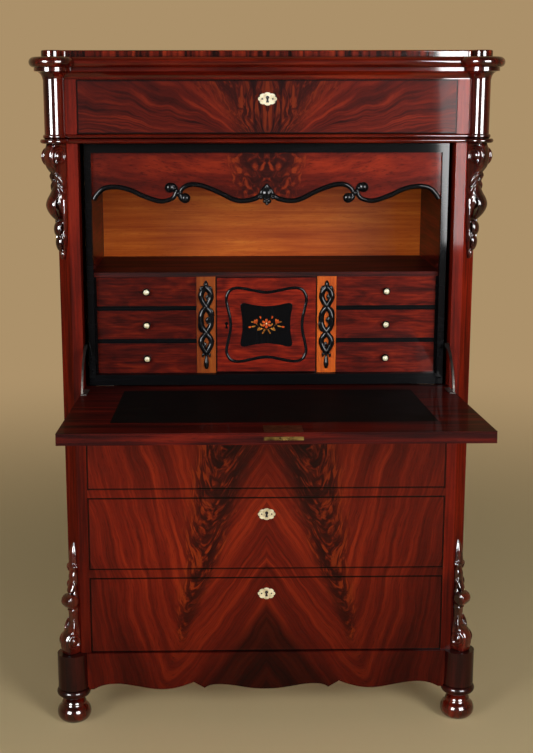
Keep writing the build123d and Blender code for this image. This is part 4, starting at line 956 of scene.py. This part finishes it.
keyholeShade = cutPlate("doorKeyholeShade", [keyholeShade], cartouche["keyThick"], cartouche["keyBevel"], doorFace)
addPiece("door_keyhole_shade", keyholeShade, "ebonyGround", "door")

# Flower marquetry: a six-petalled rose between two bells, on crossed stems
marquetry = {
    # It stands a little proud of the black ground, so that it shows
    "base": 1.15, "top": 1.33, "petalSteps": 18, "petals": 6, "roseUp": 3, "roseRadius": 1.5,
    # Length, width and bluntness of a petal or leaf
    "rose": (9, 8.2, 0.25), "bell": (9.5, 5.4, 0.4), "bellPlace": (21, 4), "bellTilt": 38, "bellSpread": 34,
    # Right, up, lean from the upright, length, width, bluntness
    "loose": [(33, -4, 100, 7, 4.6, 0.6), (12, 14, 20, 6, 4, 0.6)],
    "stem": [(-7, -15), (3, -10), (14, -5.5), (22, 1), (21, 4)], "stemHalf": (0.45, 0.35), "stemSteps": 5,
    "leaves": [(9, -7.5, 115, 10, 4.6, 0.8), (15, -5, 152, 9, 4.2, 0.8), (4, -10, 158, 8, 3.8, 0.8),
               (24, -2, 105, 9, 3.6, 0.8), (9, -3, 38, 8, 3.8, 0.8), (-6, -14.5, 210, 6, 3, 0.8),
               (26, 6, 82, 8, 3.2, 0.8)],
    "heartRadius": 1.7, "heartSides": 14,
}


def inlaid(mesh, outline):
    loft(mesh, [[doorFace @ Vector((right, marquetry[level], up)) for right, up in outline]
                for level in ("base", "top")])


def petal(right, up, angle, length, width, blunt):
    # A leaf or petal that starts at a point and runs out at an angle
    outline = []
    for step in range(marquetry["petalSteps"]):
        turn = 2 * math.pi * step / marquetry["petalSteps"]
        along = length * (0.5 - 0.5 * math.cos(turn))
        across = width / 2 * math.sin(turn) * (blunt + (1 - blunt) * along / length)
        cosine, sine = math.cos(math.radians(angle)), math.sin(math.radians(angle))
        outline.append((right + along * cosine - across * sine, up + along * sine + across * cosine))
    return outline


blossom, foliage, heart = bmesh.new(), bmesh.new(), bmesh.new()
for i in range(marquetry["petals"]):
    turn = 90 + 360 / marquetry["petals"] * i
    across = marquetry["roseRadius"] * math.cos(math.radians(turn))
    rise = marquetry["roseRadius"] * math.sin(math.radians(turn))
    inlaid(blossom, petal(across, marquetry["roseUp"] + rise, turn, *marquetry["rose"]))
bellAcross, bellUp = marquetry["bellPlace"]
for side in (-1, 1):
    for spread in (-1, 0, 1):
        angle = 90 - side * (marquetry["bellTilt"] + spread * marquetry["bellSpread"])
        inlaid(blossom, petal(side * bellAcross, bellUp, angle, *marquetry["bell"]))
    for mesh, key in ((blossom, "loose"), (foliage, "leaves")):
        for right, up, lean, *shape in marquetry[key]:
            inlaid(mesh, petal(side * right, up, 90 - side * lean, *shape))
    stem = smoothCurve([(side * x, z, 0) for x, z in marquetry["stem"]], marquetry["stemSteps"])
    across, rise = marquetry["stemHalf"]
    outline = [(p.x + across * side, p.y + rise) for p in stem]
    inlaid(foliage, outline + [(p.x - across * side, p.y - rise) for p in reversed(stem)])
inlaid(heart, circleLoop(0, marquetry["roseUp"], marquetry["heartRadius"], marquetry["heartSides"]))
addPiece(
    "marquetry_blossoms", meshFrom("blossoms", blossom, False), "flowerVeneer", "door")
addPiece("marquetry_foliage", meshFrom("foliage", foliage, False), "leafVeneer", "door")
addPiece("marquetry_heart", meshFrom("heart", heart, False), "bone", "door")
print("ebonised carving and marquetry made")

# Floor, lamps and camera
studio = {
    "floorSize": 400.0, "floorStops": [(0.3, "#dcc596"), (0.7, "#e4cfa2")], "floorPatches": 60.0,
    "surround": [(0.25, "#4a3c2c"), (0.7, "#ab9069")], "fade": (1.2, 4.2),
    "worldColour": "#9a968e", "worldStrength": 0.45,
    # Place, width, height, watts, whether it lights the wood, and whether polish mirrors it
    "lamps": {
        "leftLamp": ((-3.6, -4.2, 2.0), 2.0, 2.2, 95.0, True, False),
        "rightLamp": ((2.4, -3.6, 2.0), 1.5, 2.2, 95.0, True, False),
        "fillLamp": ((-0.1, -4.6, 1.3), 2.6, 1.8, 45.0, True, False),
        "leftGleam": ((-3.1, -4.5, 2.0), 2.0, 2.2, 1100.0, False, True),
        "rightGleam": ((1.88, -3.6, 1.7), 1.95, 2.2, 520.0, False, True),
    },
    "aim": (0.0, 0.05, 0.8),
}


def surround(tree, direction):
    # The backdrop's colour, and 1 for a ray that is to find it: one from the camera or a mirror
    rays = addNode(tree, "LightPath", outlet=None)
    seen = rays["Is Camera Ray"]
    for kind in ("Is Glossy Ray", "Is Transmission Ray"):
        seen = addNode(tree, "Math", (seen, rays[kind]), operation="MAXIMUM")
    # Pale paper wherever the camera looks; polish mirrors a dim room in front of the cabinet
    facing = addNode(tree, "SeparateXYZ", [direction], outlet="Y")
    behind = addNode(tree, "MapRange", (facing, -1.0))
    share = addNode(tree, "Math", (behind, rays["Is Camera Ray"]), operation="MAXIMUM")
    return addNode(tree, "ValToRGB", [share], studio["surround"]), seen


bpy.ops.mesh.primitive_plane_add(size=studio["floorSize"])
floor = bpy.context.object
floor.name = "studio_floor"
floorMaterial, tree, floorShader = startMaterial("painted studio floor", {
    "Roughness": 0.7, "Specular IOR Level": 0.0})
patches = addNode(tree, "TexNoise", {"Scale": studio["floorPatches"], "Detail": 4.0})
fillSockets(tree, floorShader, {"Base Color": addNode(tree, "ValToRGB", [patches], studio["floorStops"])})
# Far from the cabinet the floor turns into the backdrop, for what looks at it or mirrors it
place = addNode(tree, "TexCoord", outlet="Object")
distance = addNode(tree, "VectorMath", [place], outlet="Value", operation="LENGTH")
fade = addNode(tree, "MapRange", (distance, *studio["fade"]), interpolation_type="SMOOTHSTEP")
backdrop, seen = surround(tree, addNode(tree, "VectorMath", [place], operation="NORMALIZE"))
share = addNode(tree, "Math", (seen, fade), operation="MULTIPLY")
glow = addNode(tree, "Emission", {"Color": backdrop})
mixed = addNode(tree, "MixShader", (share, floorShader.outputs[0], glow))
fillSockets(tree, tree.nodes["Material Output"], {"Surface": mixed})
floor.data.materials.append(floorMaterial)

world = bpy.data.worlds.new("studio")
bpy.context.scene.world = world
world.use_nodes = True
tree = world.node_tree
backdrop, seen = surround(tree, addNode(tree, "TexCoord", outlet="Generated"))
light = tree.nodes["Background"]
fillSockets(tree, light, {
    "Color": linearColour(studio["worldColour"]), "Strength": studio["worldStrength"]})
mixed = addNode(tree, "MixShader", (seen, light.outputs[0], addNode(tree, "Background", {"Color": backdrop})))
fillSockets(tree, tree.nodes["World Output"], {"Surface": mixed})

for lampName, (place, width, height, power, lighting, mirrored) in studio["lamps"].items():
    lamp = bpy.data.lights.new(lampName, "AREA")
    lamp.shape = "RECTANGLE"
    lamp.size, lamp.size_y, lamp.energy = width, height, power
    lampObject = bpy.data.objects.new(lampName, lamp)
    lampObject.location = place
    lampObject.rotation_euler = (Vector(studio["aim"]) - Vector(place)).to_track_quat("-Z", "Y").to_euler()
    lampObject.visible_diffuse = lighting
    lampObject.visible_glossy = mirrored
    bpy.context.scene.collection.objects.link(lampObject)

photoCamera = {
    # Image and lens in pixels, turns in degrees, place in metres from the middle of the front
    "imageWidth": 533, "imageHeight": 753, "focalPixels": 1324, "principal": (247, 381),
    "yaw": 1.13, "pitch": 12.11, "roll": -0.07, "place": (-0.0999, -2.8422, 1.4106), "sensor": 36.0,
}
cameraData = bpy.data.cameras.new("photoCamera")
cameraData.sensor_width = photoCamera["sensor"]
cameraData.lens = photoCamera["focalPixels"] / photoCamera["imageHeight"] * photoCamera["sensor"]
imageHeight = photoCamera["imageHeight"]
cameraData.shift_x = (photoCamera["imageWidth"] / 2 - photoCamera["principal"][0]) / imageHeight
cameraData.shift_y = (photoCamera["principal"][1] - imageHeight / 2) / imageHeight
camera = bpy.data.objects.new("photoCamera", cameraData)
yaw, pitch, roll = (math.radians(photoCamera[key]) for key in ("yaw", "pitch", "roll"))
turn = Matrix.Rotation(-yaw, 3, "Z") @ Matrix.Rotation(math.pi / 2 - pitch, 3, "X")
turn = turn @ Matrix.Rotation(roll, 3, "Z")
camera.rotation_euler = turn.to_euler()
camera.location = Vector(photoCamera["place"]) + Vector((0, frontY, 0))
bpy.context.scene.collection.objects.link(camera)
bpy.context.scene.camera = camera
bpy.context.scene.view_settings.view_transform = "Standard"
print("studio set")
